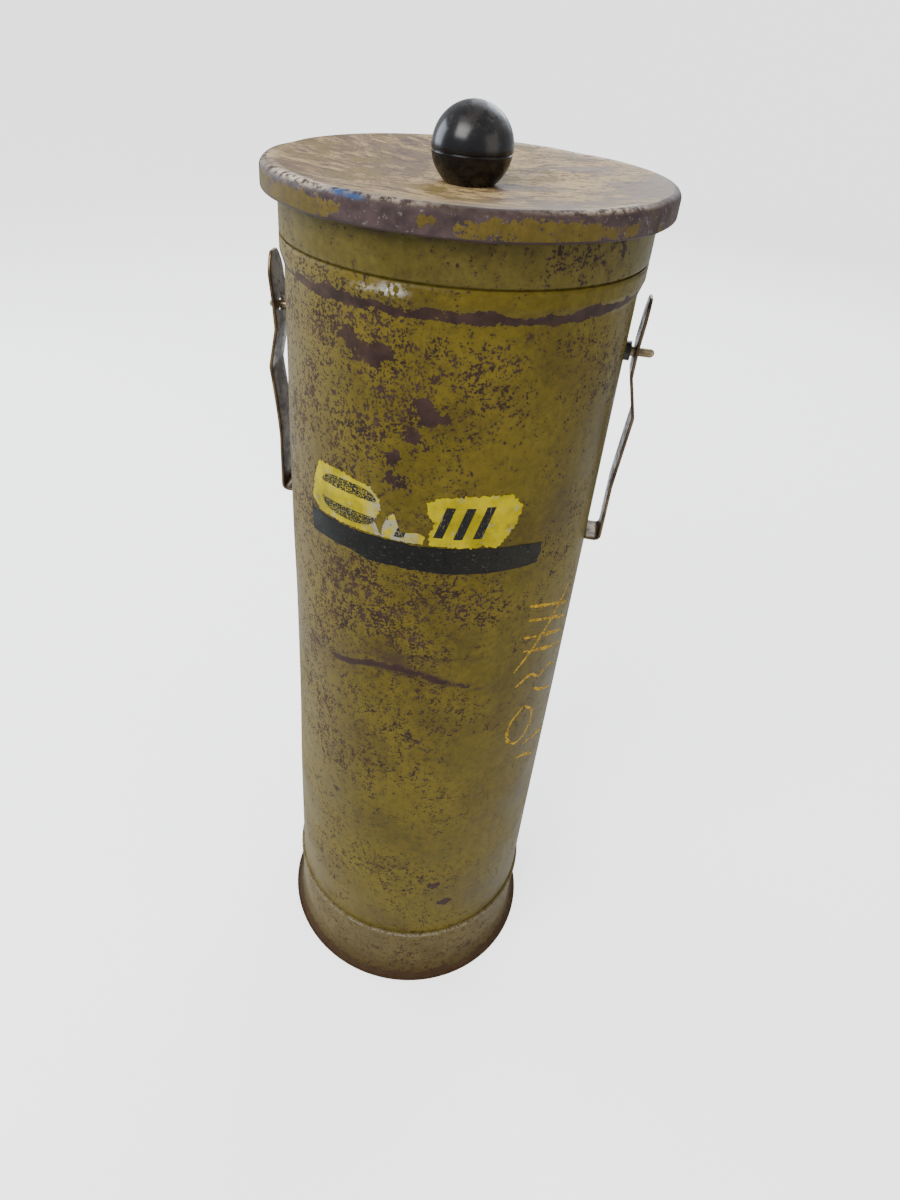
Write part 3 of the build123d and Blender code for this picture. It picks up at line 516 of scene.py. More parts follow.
bead_angle = np.linspace(-90, 90, 11)
bead_middle = (BEAD_LOW + SLEEVE_TOP) / 2
bead = np.stack([SLEEVE_RADIUS + BEAD_PROUD * np.cos(np.radians(bead_angle)),
                 bead_middle + (SLEEVE_TOP - BEAD_LOW) / 2 * np.sin(np.radians(bead_angle))], -1)
sleeve_profile = np.vstack([
    [(BRIM_INSIDE, 0)], rounded_path([(BRIM_INSIDE, 0), (FOOT_RADIUS, 0), (FOOT_RADIUS, BRIM_HEIGHT),
                                      (BRIM_NECK, BRIM_HEIGHT)], (0.35, 0.35), 0.5),
    flare(SLEEVE_RADIUS, BRIM_NECK, FLARE_TOP, BRIM_HEIGHT)[::-1],
    divided(np.array([(SLEEVE_RADIUS, FLARE_TOP), (SLEEVE_RADIUS, BEAD_LOW)]), 3.0), bead,
    [(SLEEVE_RADIUS - 1, SLEEVE_TOP), (SLEEVE_RADIUS - 1, FLARE_TOP)],
    flare(SLEEVE_RADIUS - 1, BRIM_INSIDE, FLARE_TOP, 0)])


def sleeve_push(azimuth, height):
    """Slow waves of the rolled sheet, with none at the ground."""
    angle = np.radians(azimuth)
    return 0.12 * smooth(height, 4, 20) * (np.sin(3 * angle + 1) + np.sin(7 * angle))


grid, azimuth, radius, height = revolved(sleeve_profile, 193, sleeve_push)
bead_share = np.exp(-((height - bead_middle) / 1.3) ** 2) * (radius > SLEEVE_RADIUS - 0.5)
brim_share = 1 - smooth(height, 1.5, 9)
sleeve_chips = spots(azimuth, height, ((-3, 29, 5, 5, 0.6), (40, 20, 10, 9, 0.5), (-70, 25, 20, 15, 0.4)))
# Dust on the left-hand side, partly a painted sheen as on the wall
sleeve_dust_and_sheen = 0.25 + 0.75 * smooth(-azimuth, 6, 60) * (1 - smooth(-azimuth, 120, 170))
sleeve = skin("sleeve_wall", [grid], {
    "flakes": [0.25 + 0.22 * bead_share + 0.9 * brim_share + sleeve_chips],
    "specks": [0.52 + 0.5 * brim_share],
    "scuff_and_shade": [0.6 * brim_share],
    # Dust on the left, partly a painted sheen
    "dusty": [np.clip(sleeve_dust_and_sheen, 0, 1) * (1 - brim_share)],
    # A painted highlight along the top of the bead, where it faces up and catches the light
    "shine": [0.22 * bead_share * spot(azimuth, height, (10, 50.5), (70, 30))]})
sleeve_paint = olive_finish("sleeve_paint", paint=(0.072, 0.052, 0.009, 1), faded=(0.108, 0.080, 0.022, 1),
                            primer=(0.050, 0.025, 0.012, 1), low_dirt=26.0)
fit(sleeve, "canister", ["base_sleeve"], sleeve_paint)


# ---- Top collar ----------------------------------------------------------------------------------
# A pressed collar whose spigot fits inside the shell. Its wall carries the lid's skirt, its level
# crown takes the seal, and its top slopes down to the mouth of the electrode chamber.
COLLAR_SHEET = 1.0
SPIGOT_LOW = 478.5
SEAM_GAP = 0.3
CROWN = 508.69
LAND_INSIDE = 73.0
MOUTH_RADIUS, MOUTH_HEIGHT, LIP_LOW = 43.2, 499.19, 490.19

collar_line = rounded_path(
    [(SWAGED_RADIUS - 1, SPIGOT_LOW), (SWAGED_RADIUS - 1, SEAM + SEAM_GAP),
     (SWAGED_RADIUS, SEAM + SEAM_GAP + 1), (SWAGED_RADIUS, CROWN), (LAND_INSIDE, CROWN),
     (MOUTH_RADIUS, MOUTH_HEIGHT), (MOUTH_RADIUS, LIP_LOW)], (0.3, 1.5, 2.5, 2.5, 2.5), 2.0)
grid, azimuth, radius, height = revolved(sheet_section(collar_line, COLLAR_SHEET), 193)
under_lid = smooth(height, 503, 506)
collar = skin("collar_wall", [grid], {
    "flakes": [np.clip(spots(azimuth, height, (
        (0, 484.5, 200, 1.4, 0.50), (56, 496, 5, 9, 0.8), (34, 497, 3, 4, 0.75), (12, 494, 4, 7, 0.6),
        (-40, 500, 14, 3, 0.65), (8, 502, 60, 2.2, 0.55), (75, 490, 12, 8, 0.6), (150, 495, 12, 9, 0.7),
        (-120, 496, 14, 9, 0.7))) + 0.45 * under_lid, 0, 1.1)],
    "specks": [np.clip(0.30 + spots(azimuth, height, ((38, 495, 38, 12, 0.34), (150, 490, 50, 20, 0.3)))
                       + 0.3 * under_lid, 0, 1)],
    # A darker band just below the lid's hem, strongest at the front: painted shade under the hem
    "scuff_and_shade": [np.clip(0.7 * smooth(height, 500.5, 502) * (1 - under_lid)
                      + 1.2 * spot(azimuth, height, (-10, 500.8), (13, 1.4)), 0, 1)],
    # Dust on the left-hand side, partly a painted sheen as on the wall
    "dusty": [0.55 * smooth(-azimuth, 30, 80) * (1 - smooth(-azimuth, 120, 170))],
    "shine": [0 * height]})
collar_paint = olive_finish("collar_paint", paint=(0.072, 0.056, 0.008, 1), faded=(0.110, 0.087, 0.020, 1))
fit(collar, "canister", ["top_collar"], collar_paint)


# ---- Labels --------------------------------------------------------------------------------------
# Printed foil: a black stripe round the front, and above it what is left of a yellow label in two
# torn pieces and a scrap. The print is a worn oval badge and slanted bars.
FOIL, UNDER_FOIL = 0.2, 0.03       # how far its two faces stand off the wall
BADGE_MIDDLE, BADGE_HALF = (-24.0, 383.0), (12.2, 10.2)
STRIPE = ((-41.5, 369), (-20, 368.8), (-13, 369.6), (2, 369), (22, 369.2), (38, 368.4), (45.6, 367),
          (46, 362), (44.8, 355.6), (30, 355.2), (12, 355), (-4, 356), (-15, 355.4), (-22, 357.4), (-34, 357),
          (-40.5, 356.6), (-41.8, 362))
LEFT_LABEL = ((-37, 396), (-27, 396.6), (-15, 394), (-12, 390), (-11, 384), (-13, 377), (-10.5, 370.6),
              (-24, 370.2), (-37, 370.3), (-41, 375), (-40, 384), (-38.5, 391))
RIGHT_LABEL = ((4, 392), (8, 395), (18, 396.4), (31, 396.6), (35.4, 390), (34, 381), (31, 374), (28, 369),
               (23, 370.6), (20, 369.4), (5.6, 370.2), (5.2, 376), (7, 381), (4.6, 386))
SCRAP = ((-10.5, 370.4), (-3, 370.2), (3.4, 370.4), (4.2, 374.5), (1.5, 376), (-2.5, 373.2), (-5.5, 377),
         (-6.4, 384), (-8.8, 381), (-10, 376))


def torn_patch(name, outline, seed, ragged=0.35, rings=9, count=300):
    """Foil on the wall: rings of points from a middle out to a closed outline, whose edge is moved in
    and out by a few random waves, once near the wall and once on top."""
    outline = np.array(outline + outline[:1], float)
    arc = outline * (DEGREE_RUN, 1)
    along = np.append(0, np.cumsum(np.linalg.norm(np.diff(arc, axis=0), axis=1)))
    places = np.linspace(0, along[-1], count + 1)
    edge = np.stack([np.interp(places, along, outline[:, k]) for k in (0, 1)], -1)
    middle = edge[:-1].mean(0)
    waves = np.random.default_rng(seed)
    turns = waves.integers(9, 75, 14)
    shift = waves.uniform(0, 2 * math.pi, 14)
    tear = np.sin(np.linspace(0, 2 * math.pi, count + 1)[:, None] * turns + shift).sum(1) * ragged / 3
    away = (edge - middle) * (DEGREE_RUN, 1)
    edge = middle + (edge - middle) * (1 + tear / np.linalg.norm(away, axis=1))[:, None]
    share = np.linspace(0, 1, rings)[:, None, None]
    spread = middle + share * (edge - middle)
    spread = np.concatenate([spread[::-1], spread])[::-1]
    proud = np.where(np.arange(2 * rings) < rings, FOIL, UNDER_FOIL)[:, None]
    grid = on_wall(spread[..., 0], spread[..., 1], proud)
    rim = np.concatenate([share[:, :, 0], share[::-1, :, 0]])[::-1] * np.ones(count + 1)
    return skin(name, [grid[::-1]], {"rim": [rim[::-1]]}, sharp=60)


def make_round_place():
    """Turns a place into its azimuth in degrees and its height in millimetres."""
    graph, takes, gives = new_effect("round_place", {"Place": "Vector"},
                                     {"Azimuth": "Float", "Height": "Float"})
    parts = graph.add("SeparateXYZ", {0: takes["Place"]}).outputs
    angle = graph.maths("ARCTAN2", parts[0], graph.times(parts[1], -1.0))
    graph.tree.links.new(graph.times(angle, 180 / math.pi), gives["Azimuth"])
    graph.tree.links.new(graph.times(parts[2], 1 / MM), gives["Height"])
    return graph.tree


def make_printed_bar():
    """A slanted bar: 1 within Half of a line at Azimuth that leans by Lean degrees a millimetre, between
    two heights."""
    graph, takes, gives = new_effect(
        "printed_bar", {"Turn": "Float", "Height": "Float", "Azimuth": "Float", "Lean": "Float",
                        "Half": "Float", "Low": "Float", "High": "Float"}, {"Mask": "Float"})
    line = graph.maths("MULTIPLY_ADD", graph.less(takes["Height"], takes["Low"]), takes["Lean"],
                       takes["Azimuth"])
    off = graph.maths("ABSOLUTE", graph.less(takes["Turn"], line))
    across = graph.rise(graph.less(off, takes["Half"]), -0.12, 0.12, 1.0, 0.0)
    above = graph.rise(graph.less(takes["Height"], takes["Low"]), -0.15, 0.15)
    below = graph.rise(graph.less(takes["High"], takes["Height"]), -0.15, 0.15)
    between = graph.times(above, below)
    graph.tree.links.new(graph.times(across, between), gives["Mask"])
    return graph.tree


round_place = make_round_place()
printed_bar = make_printed_bar()


def yellow_foil():
    """Yellow print on foil with black marks, scratched through to grey and torn white at its ends."""
    finish, graph, shader = new_finish("label_foil")
    place = graph.place()
    at = graph.effect(round_place, {"Place": place})
    turn, high = at["Azimuth"], at["Height"]
    bars = [graph.effect(printed_bar, {"Turn": turn, "Height": high, "Azimuth": azimuth, "Lean": 0.22,
                                       "Half": half, "Low": low, "High": top})["Mask"]
            for azimuth, half, low, top in ((8.2, 1.5, 374.5, 390.5), (14.6, 1.5, 374, 390.5),
                                            (21, 1.5, 374.5, 391), (-4.5, 1.6, 372, 377))]
    across = graph.maths("DIVIDE", graph.less(turn, BADGE_MIDDLE[0]), BADGE_HALF[0])
    up = graph.maths("DIVIDE", graph.less(high, BADGE_MIDDLE[1]), BADGE_HALF[1])
    reach = graph.plus(graph.maths("POWER", graph.maths("ABSOLUTE", across), 3.0),
                       graph.maths("POWER", graph.maths("ABSOLUTE", up), 3.0))
    badge = graph.rise(reach, 0.9, 1.0, 1.0, 0.0)
    off_middle = graph.maths("ABSOLUTE", graph.less(high, BADGE_MIDDLE[1]))
    window = graph.rise(off_middle, 3.6, 4.1)
    badge = graph.times(badge, window)
    ink = badge
    for bar in bars:
        ink = graph.maths("MAXIMUM", ink, bar)
    fleck = graph.noise(place, 1500, 3, 0.7)
    ink_limit = graph.rise(turn, -8.0, 2.0, 0.56, 0.66)
    kept = graph.rise(graph.less(fleck, ink_limit), -0.02, 0.02, 1.0, 0.0)
    ink = graph.times(ink, kept)
    base = graph.mix(graph.rise(graph.noise(place, 70, 4, 0.6), 0.35, 0.65), (0.43, 0.345, 0.0004, 1),
                     (0.25, 0.205, 0.0008, 1))
    torn = graph.rise(graph.noise(place, 210, 5, 0.72), 0.59, 0.63)
    end = graph.times(graph.rise(turn, -18.0, -12.0), graph.rise(turn, -2.0, 4.0, 1.0, 0.0))
    pale = graph.maths("MAXIMUM", graph.times(torn, 0.75),
                       graph.times(end, graph.rise(graph.noise(place, 260, 4, 0.7), 0.40, 0.50)))
    colour = graph.mix(pale, base, (0.27, 0.25, 0.17, 1))
    colour = graph.mix(ink, colour, (0.012, 0.012, 0.014, 1))
    scratch = graph.rise(graph.noise(graph.stretched(place, (900, 900, 140)), 1.0, 3, 0.7), 0.62, 0.66)
    colour = graph.mix(graph.times(scratch, 0.6), colour, (0.20, 0.17, 0.11, 1))
    dirt = graph.effect(grime, {"Place": place, "Scale": 120.0, "Amount": 0.5})["Mask"]
    colour = graph.mix(graph.times(dirt, 0.45), colour, (0.07, 0.050, 0.008, 1))
    flake = graph.maths("MULTIPLY_ADD", graph.mark("rim"), -0.10,
                        graph.maths("MULTIPLY_ADD", end, -0.10, 0.74))
    hole = graph.rise(graph.less(graph.noise(place, 300, 5, 0.7), flake), 0.0, 0.01, 1.0, 0.0)
    shade(graph, shader, {"Base Color": colour, "Alpha": hole, "Specular IOR Level": 0.08,
                          "Roughness": graph.rise(fleck, 0.3, 0.7, 0.30, 0.52)},
          height=graph.noise(place, 420, 4, 0.6), strength=0.3, depth=0.0001)
    return finish


def black_foil():
    """Black stripe foil, rubbed dull and scratched to grey, and dusty at its right-hand end."""
    finish, graph, shader = new_finish("stripe_foil")
    place = graph.place()
    turn = graph.effect(round_place, {"Place": place})["Azimuth"]
    dust = graph.times(graph.rise(turn, 4.0, 44.0, 0.25, 0.85),
                       graph.effect(grime, {"Place": place, "Scale": 150.0, "Amount": 0.95})["Mask"])
    colour = graph.mix(dust, (0.0030, 0.0034, 0.0040, 1), (0.018, 0.016, 0.011, 1))
    scratch = graph.rise(graph.noise(graph.stretched(place, (420, 420, 1300)), 1.0, 4, 0.7), 0.60, 0.66)
    colour = graph.mix(graph.times(scratch, 0.5), colour, (0.085, 0.085, 0.070, 1))
    flake = graph.maths("MULTIPLY_ADD", graph.mark("rim"), -0.08, 0.75)
    hole = graph.rise(graph.less(graph.noise(place, 240, 5, 0.7), flake), 0.0, 0.01, 1.0, 0.0)
    shade(graph, shader, {"Base Color": colour, "Alpha": hole, "Specular IOR Level": 0.10,
                          "Roughness": graph.rise(graph.noise(place, 90, 4, 0.6), 0.3, 0.7, 0.30, 0.5)},
          height=graph.noise(place, 380, 4, 0.6), strength=0.3, depth=0.0001)
    return finish


label_foil, stripe_foil = yellow_foil(), black_foil()
fit(torn_patch("stripe", STRIPE, 3, ragged=0.3, rings=24, count=420), "canister", ["label_stripe"],
    stripe_foil)
fit(torn_patch("label_left", LEFT_LABEL, 5), "canister", ["label_panels"], label_foil)
fit(torn_patch("label_right", RIGHT_LABEL, 8), "canister", ["label_panels"], label_foil)
fit(torn_patch("label_scrap", SCRAP, 11, ragged=0.25), "canister", ["label_panels"], label_foil)


# ---- Chalk marks ---------------------------------------------------------------------------------
# Orange-yellow marking chalk down the right-hand side: a struck tally, a wave and a ring.
CHALK_WIDTH, CHALK_THICK = 1.9, 0.06
CHALK_STROKES = (
    ((46, 328), (60, 321), (74, 311)), ((47, 318), (60, 312), (74, 301)), ((46, 307), (60, 301), (73, 292)),
    ((47, 297), (61, 290), (75, 281)), ((44, 284), (57, 304), (71, 327)),
    ((46, 272), (54, 278), (60, 268), (67, 274), (76, 262)), ((58, 262), (66, 254), (74, 248)),
    ((53, 252), (46, 244), (46, 230), (53, 221), (60, 229), (61, 243), (54, 252)),
    ((58, 217), (69, 214), (80, 205)), ((55, 208), (62, 204), (69, 196)))


def cut_corners(line, times=3):
    """Rounds a line by cutting each corner at a quarter and three quarters of its runs, a few times."""
    for _ in range(times):
        early, late = line[:-1] * 0.75 + line[1:] * 0.25, line[:-1] * 0.25 + line[1:] * 0.75
        line = np.vstack([line[:1], np.stack([early, late], 1).reshape(-1, 2), line[-1:]])
    return line


def chalk_stroke(points, seed):
    """A flat ribbon along a rounded line on the wall: five points across, low, high, high, high, low,
    and back beneath, with a width that swells and thins."""
    line = cut_corners(np.array(points, float)) * (DEGREE_RUN, 1)
    line = divided(line, 1.2)
    run = np.gradient(line, axis=0)
    side = np.stack([-run[:, 1], run[:, 0]], -1) / np.linalg.norm(run, axis=1)[:, None]
    length = np.linspace(0, len(line) / 9, len(line))
    ends = np.sqrt(np.clip(np.sin(np.linspace(0.03, math.pi - 0.03, len(line))), 0, 1) * 2).clip(0, 1)
    half = CHALK_WIDTH / 2 * (1 + 0.25 * np.sin(length * 2 + seed) + 0.2 * np.sin(length * 5)) * ends
    across = np.array([1, 0.5, -0.5, -1, -0.5, 0.5, 1])
    lift = np.array([0.01, CHALK_THICK, CHALK_THICK, 0.01, 0.005, 0.005, 0.01])
    flat = line[:, None] + side[:, None] * half[:, None, None] * across[:, None]
    grid = on_wall(flat[..., 0] / DEGREE_RUN, flat[..., 1], lift)
    caps = [np.repeat(grid[k].mean(0)[None], 7, 0) for k in (0, -1)]
    return np.concatenate([caps[0][None], grid, caps[1][None]])


def chalk_finish():
    """Chalk that has caught only on the high points of the paint."""
    finish, graph, shader = new_finish("marking_chalk")
    place = graph.place()
    grit = graph.plus(graph.times(graph.noise(place, 1300, 3, 0.7), 0.6),
                      graph.times(graph.noise(place, 240, 4, 0.6), 0.4))
    colour = graph.mix(graph.rise(grit, 0.35, 0.65), (0.42, 0.23, 0.018, 1), (0.62, 0.38, 0.03, 1))
    shade(graph, shader, {"Base Color": colour, "Alpha": graph.rise(grit, 0.475, 0.52, 0.0, 0.9),
                          "Roughness": 0.9, "Specular IOR Level": 0.1},
          height=grit, strength=0.3, depth=0.0001)
    return finish


chalk = skin("chalk_marks", [chalk_stroke(points, k) for k, points in enumerate(CHALK_STROKES)], sharp=60)
chalk.data.materials.append(chalk_finish())
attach(chalk, "canister")


# ---- Keepers -------------------------------------------------------------------------------------
# One sprung strip of bronzed steel each side. It is welded inside the shell, comes out through a
# slot, turns up beside the wall and is pierced for the stud, so that its tip holds the strap's eye on.
KEEPER_SHEET, KEEPER_WIDTH = 1.5, 18.0
KEEPER_LINE = ((78.2, 331), (78.2, 344), (87.2, 344), (87.2, 376), (90, 413.5), (85, 433), (85, 447),
               (86.4, 468.5))
KEEPER_BENDS = (1.4, 2.6, 9, 5, 5, 3)
STUD_HEIGHT = 443.0
KEEPER_HOLE, HOLE_ZONE = 3.1, 7.0
TIP_TAPER, TIP_SHARE = 10.0, 0.34
STRAINED = 4.2


def keeper_sheet_points(along, across, line):
    """Points of the strip's middle surface at a length along its bent line and a distance across."""
    lengths = np.append(0, np.cumsum(np.linalg.norm(np.diff(line, axis=0), axis=1)))
    radius, height = (np.interp(along, lengths, line[:, k]) for k in (0, 1))
    return np.stack([radius, np.broadcast_to(across, radius.shape), height], -1)


def keeper(name, side):
    """A strip of quads below and above a square zone, and in the zone rings from its square edge in to
    the round hole. The left one is the right one turned half round the canister, and has been strained
    a little outwards."""
    line = rounded_path(KEEPER_LINE, KEEPER_BENDS, 1.5)
    lengths = np.append(0, np.cumsum(np.linalg.norm(np.diff(line, axis=0), axis=1)))
    hole = np.interp(STUD_HEIGHT, line[:, 1], lengths)
    half = KEEPER_WIDTH / 2
    across = np.linspace(-half, half, 13)
    low = np.linspace(0, hole - HOLE_ZONE, 84)
    high = np.linspace(hole + HOLE_ZONE, lengths[-1], 20)
    tip = np.clip((lengths[-1] - high) / TIP_TAPER, 0, 1)
    narrow = TIP_SHARE + (1 - TIP_SHARE) * np.sqrt(1 - (1 - tip) ** 2 * 0.9) * tip ** 0.35
    narrow = np.where(tip >= 1, 1, np.minimum(narrow, 1))
    grids = [keeper_sheet_points(low[:, None] + 0 * across, across, line),
             keeper_sheet_points(high[:, None] + 0 * across, across * narrow[:, None], line)]
    up = np.linspace(-HOLE_ZONE, HOLE_ZONE, 11)
    edge = np.concatenate([np.stack([across, 0 * across - HOLE_ZONE], -1),
                           np.stack([0 * up[1:] + half, up[1:]], -1),
                           np.stack([across[-2::-1], 0 * across[1:] + HOLE_ZONE], -1),
                           np.stack([0 * up[1:] - half, up[-2::-1]], -1)])
    inner = edge / np.linalg.norm(edge, axis=1)[:, None] * KEEPER_HOLE
    share = np.linspace(0, 1, 6)[:, None, None]
    rings = edge + share * (inner - edge)
    grids.append(keeper_sheet_points(hole + rings[..., 1], rings[..., 0], line))
    if side < 0:
        for part in grids:
            part[..., 0] += STRAINED * smooth(part[..., 2], 380, 470)
    grids = [side * part * (1, 1, side) for part in grids]
    strip = skin(name, grids, sharp=60)
    wall = strip.modifiers.new("sheet", "SOLIDIFY")
    wall.thickness = KEEPER_SHEET * MM
    wall.offset = 0
    edges = strip.modifiers.new("edges", "BEVEL")
    edges.width = 0.35 * MM
    edges.segments = 2
    edges.limit_method = "ANGLE"
    edges.angle_limit = math.radians(50)
    return strip


def make_worn_edges():
    """1 where an edge has been rubbed: where the normal rounded over Reach differs from the true one,
    broken up by noise."""
    graph, takes, gives = new_effect("worn_edges", {"Place": "Vector", "Reach": "Float"}, {"Mask": "Float"})
    rounded = graph.add("Bevel", {"Radius": takes["Reach"]}, samples=4).outputs[0]
    true = graph.add("NewGeometry").outputs["Normal"]
    same = graph.add("VectorMath", {0: rounded, 1: true}, operation="DOT_PRODUCT").outputs["Value"]
    broken = graph.noise(takes["Place"], 330, 4, 0.65)
    turned = graph.less(1.0, same)
    mask = graph.rise(graph.times(turned, graph.rise(broken, 0.3, 0.62)), 0.02, 0.14)
    graph.tree.links.new(mask, gives["Mask"])
    return graph.tree


def make_tarnish():
    """Bare metal that has dulled: brighter and darker clouds, fine scratches and spots of rust."""
    graph, takes, gives = new_effect(
        "tarnish", {"Place": "Vector", "Metal": "Color", "Dull": "Color", "Rust": "Float"},
        {"Color": "Color", "Rusty": "Float", "Height": "Float", "Roughness": "Float"})
    place = takes["Place"]
    cloud = graph.rise(graph.noise(place, 95, 5, 0.62), 0.36, 0.64)
    hair = graph.noise(graph.stretched(place, (300, 300, 2600)), 1.0, 3, 0.6)
    spots_of = graph.noise(place, 380, 5, 0.7)
    limit = graph.maths("MULTIPLY_ADD", takes["Rust"], -0.3, 0.72)
    rusty = graph.rise(graph.less(spots_of, limit), 0.0, 0.05)
    colour = graph.mix(cloud, takes["Metal"], takes["Dull"])
    colour = graph.mix(graph.rise(hair, 0.55, 0.7, 0.0, 0.35), colour, takes["Metal"])
    colour = graph.mix(rusty, colour, (0.085, 0.036, 0.014, 1))
    links = graph.tree.links
    links.new(colour, gives["Color"])
    links.new(rusty, gives["Rusty"])
    links.new(graph.plus(graph.times(hair, 0.4), graph.times(rusty, 0.8)),
              gives["Height"])
    links.new(graph.plus(graph.rise(cloud, 0, 1, 0.28, 0.46), graph.times(rusty, 0.35)),
              gives["Roughness"])
    return graph.tree


worn_edges = make_worn_edges()
tarnish = make_tarnish()


def metal_finish(name, metal, dull, rust=0.2, edge=(0.45, 0.42, 0.38, 1), metallic=0.9):
    """Bare or plated metal, tarnished on its faces and rubbed bright along its edges."""
    finish, graph, shader = new_finish(name)
    place = graph.place()
    worn = graph.effect(tarnish, {"Place": place, "Metal": metal, "Dull": dull, "Rust": rust})
    rubbed = graph.effect(worn_edges, {"Place": place, "Reach": 0.4 * MM})["Mask"]
    colour = graph.mix(graph.times(rubbed, 0.75), worn["Color"], edge)
    shade(graph, shader, {
        "Base Color": colour, "Roughness": graph.maths("MULTIPLY_ADD", rubbed, -0.12, worn["Roughness"]),
        "Metallic": graph.maths("MULTIPLY_ADD", worn["Rusty"], -metallic * 0.85, metallic)},
        height=worn["Height"], strength=0.35, depth=0.0001)
    return finish


spring_steel = metal_finish("spring_steel", (0.120, 0.078, 0.034, 1), (0.044, 0.026, 0.012, 1), rust=0.45,
                            edge=(0.24, 0.18, 0.10, 1), metallic=0.55)
for word, side in (("right", 1), ("left", -1)):
    strip = keeper(f"keeper_{word}", side)
    strip.data.materials.append(spring_steel)
    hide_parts(f"clip_foot_{word}", f"clip_blade_{word}")
    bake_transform(strip)


# ---- Studs and bosses ----------------------------------------------------------------------------
# Turned studs riveted through the wall, each over a black round boss that keeps the strap's eye off
# the paint.
stud_steel = metal_finish("stud_steel", (0.34, 0.27, 0.16, 1), (0.16, 0.12, 0.07, 1), rust=0.25)
boss_steel = metal_finish("boss_steel", (0.040, 0.034, 0.030, 1), (0.016, 0.013, 0.012, 1), rust=0.3,
                          edge=(0.15, 0.12, 0.10, 1), metallic=0.5)
dress(stud_steel, "strap_studs")
dress(boss_steel, "stud_bosses")


# ---- Power inlet ---------------------------------------------------------------------------------
# A welded frame gives the moulded two-pin inlet a flat seat at the back. Two pan-head screws hold
# the moulding, which is black and has an earth contact on the lower wall of its socket.
def painted_node_finish(name, paint, faded, primer, specks=0.6, flakes=0.45):
    """Chipped paint for pieces that carry no marks of their own; their edges are rubbed to primer."""
    finish, graph, shader = new_finish(name)
    place = graph.place()
    rubbed = graph.effect(worn_edges, {"Place": place, "Reach": 0.9 * MM})["Mask"]
    bared = graph.maths("MULTIPLY_ADD", rubbed, 0.5, flakes)
    old = graph.effect(chipped_paint, {"Place": place, "Paint": paint, "Faded": faded, "Primer": primer,
                                       "Specks": specks, "Flakes": bared})
    dirt = graph.effect(grime, {"Place": place, "Scale": 40.0, "Amount": 0.6})["Mask"]
    colour = graph.mix(graph.times(dirt, 0.4), old["Color"], DIRT)
    shade(graph, shader, {"Base Color": colour, "Roughness": old["Roughness"],
                          "Specular IOR Level": PAINT_GLOSS},
          height=old["Height"], strength=0.5, depth=0.0003)
    return finish


def moulding_finish(name, colour, worn, gloss=0.3):
    """Black moulded plastic: a fine grain, dusty patches and edges worn grey."""
    finish, graph, shader = new_finish(name)
    place = graph.place()
    dust = graph.effect(grime, {"Place": place, "Scale": 160.0, "Amount": 0.55})["Mask"]
    rubbed = graph.effect(worn_edges, {"Place": place, "Reach": 0.5 * MM})["Mask"]
    surface = graph.mix(graph.times(dust, 0.5), colour, worn)
    surface = graph.mix(graph.times(rubbed, 0.5), surface, (0.11, 0.10, 0.09, 1))
    shade(graph, shader, {"Base Color": surface,
                          "Roughness": graph.maths("MULTIPLY_ADD", dust, 0.3, graph.rise(
                              graph.noise(place, 700, 3, 0.6), 0.3, 0.7, gloss - 0.06, gloss + 0.1))},
          height=graph.noise(place, 1200, 3, 0.6), strength=0.15, depth=0.00005)
    return finish


surround_paint = painted_node_finish("surround_paint", (0.074, 0.045, 0.004, 1), OLIVE_FADED, PRIMER)
black_moulding = moulding_finish("black_moulding", (0.013, 0.012, 0.012, 1), (0.060, 0.052, 0.042, 1))
brass = metal_finish("brass", (0.56, 0.38, 0.14, 1), (0.24, 0.15, 0.06, 1), rust=0.1,
                     edge=(0.75, 0.58, 0.30, 1))
screw_steel = metal_finish("screw_steel", (0.40, 0.39, 0.37, 1), (0.17, 0.15, 0.13, 1), rust=0.4)
dress(surround_paint, "inlet_surround")
dress(black_moulding, "power_inlet")
dress(brass, "inlet_pins", "earth_contact", "knob_insert")
dress(screw_steel, "inlet_screws", "base_screws", "clamp_screws", "earth_screw")


# ---- Electrode chamber and base ------------------------------------------------------------------
# The inner tube stands on the bulkhead over a wool pad and ends in a flanged floor. Under it are the
# wiring space and the base plate, which is screwed up to three bent tabs.
tube_steel = metal_finish("tube_steel", (0.42, 0.40, 0.37, 1), (0.20, 0.17, 0.14, 1), rust=0.35)
plate_steel = metal_finish("plate_steel", (0.30, 0.28, 0.25, 1), (0.13, 0.10, 0.075, 1), rust=0.65)
bare_steel = metal_finish("bare_steel", (0.36, 0.35, 0.33, 1), (0.17, 0.15, 0.13, 1), rust=0.3)
dress(tube_steel, "inner_tube", "inner_floor")
dress(plate_steel, "base_plate", "bulkhead_plate", "base_tabs")
dress(bare_steel, "knob_stud", "lid_washer", "lid_nut", "heater_clamps")


# ---- Heater, wiring and insulation ---------------------------------------------------------------
# Hidden between the tube and the shell: mineral wool, a flat band heater held by clamps, a
# thermostat, a porcelain terminal strip and braided leads.
def matt_finish(name, light, dark, scale, stretch=(1, 1, 1), depth=0.0004, rough=0.85):
    """A matt body of two shades mixed by one noise that may be drawn out along an axis."""
    finish, graph, shader = new_finish(name)
    place = graph.place()
    grain = graph.noise(graph.stretched(place, tuple(scale * s for s in stretch)), 1.0, 6, 0.68, 0.4)
    cloud = graph.noise(place, scale / 9, 4, 0.6)
    colour = graph.mix(graph.rise(grain, 0.34, 0.66), dark, light)
    colour = graph.mix(graph.rise(cloud, 0.45, 0.75, 0.0, 0.5), colour, dark)
    shade(graph, shader, {"Base Color": colour, "Roughness": graph.rise(cloud, 0.3, 0.7, rough - 0.1, rough)},
          height=grain, strength=0.6, depth=depth)
    return finish


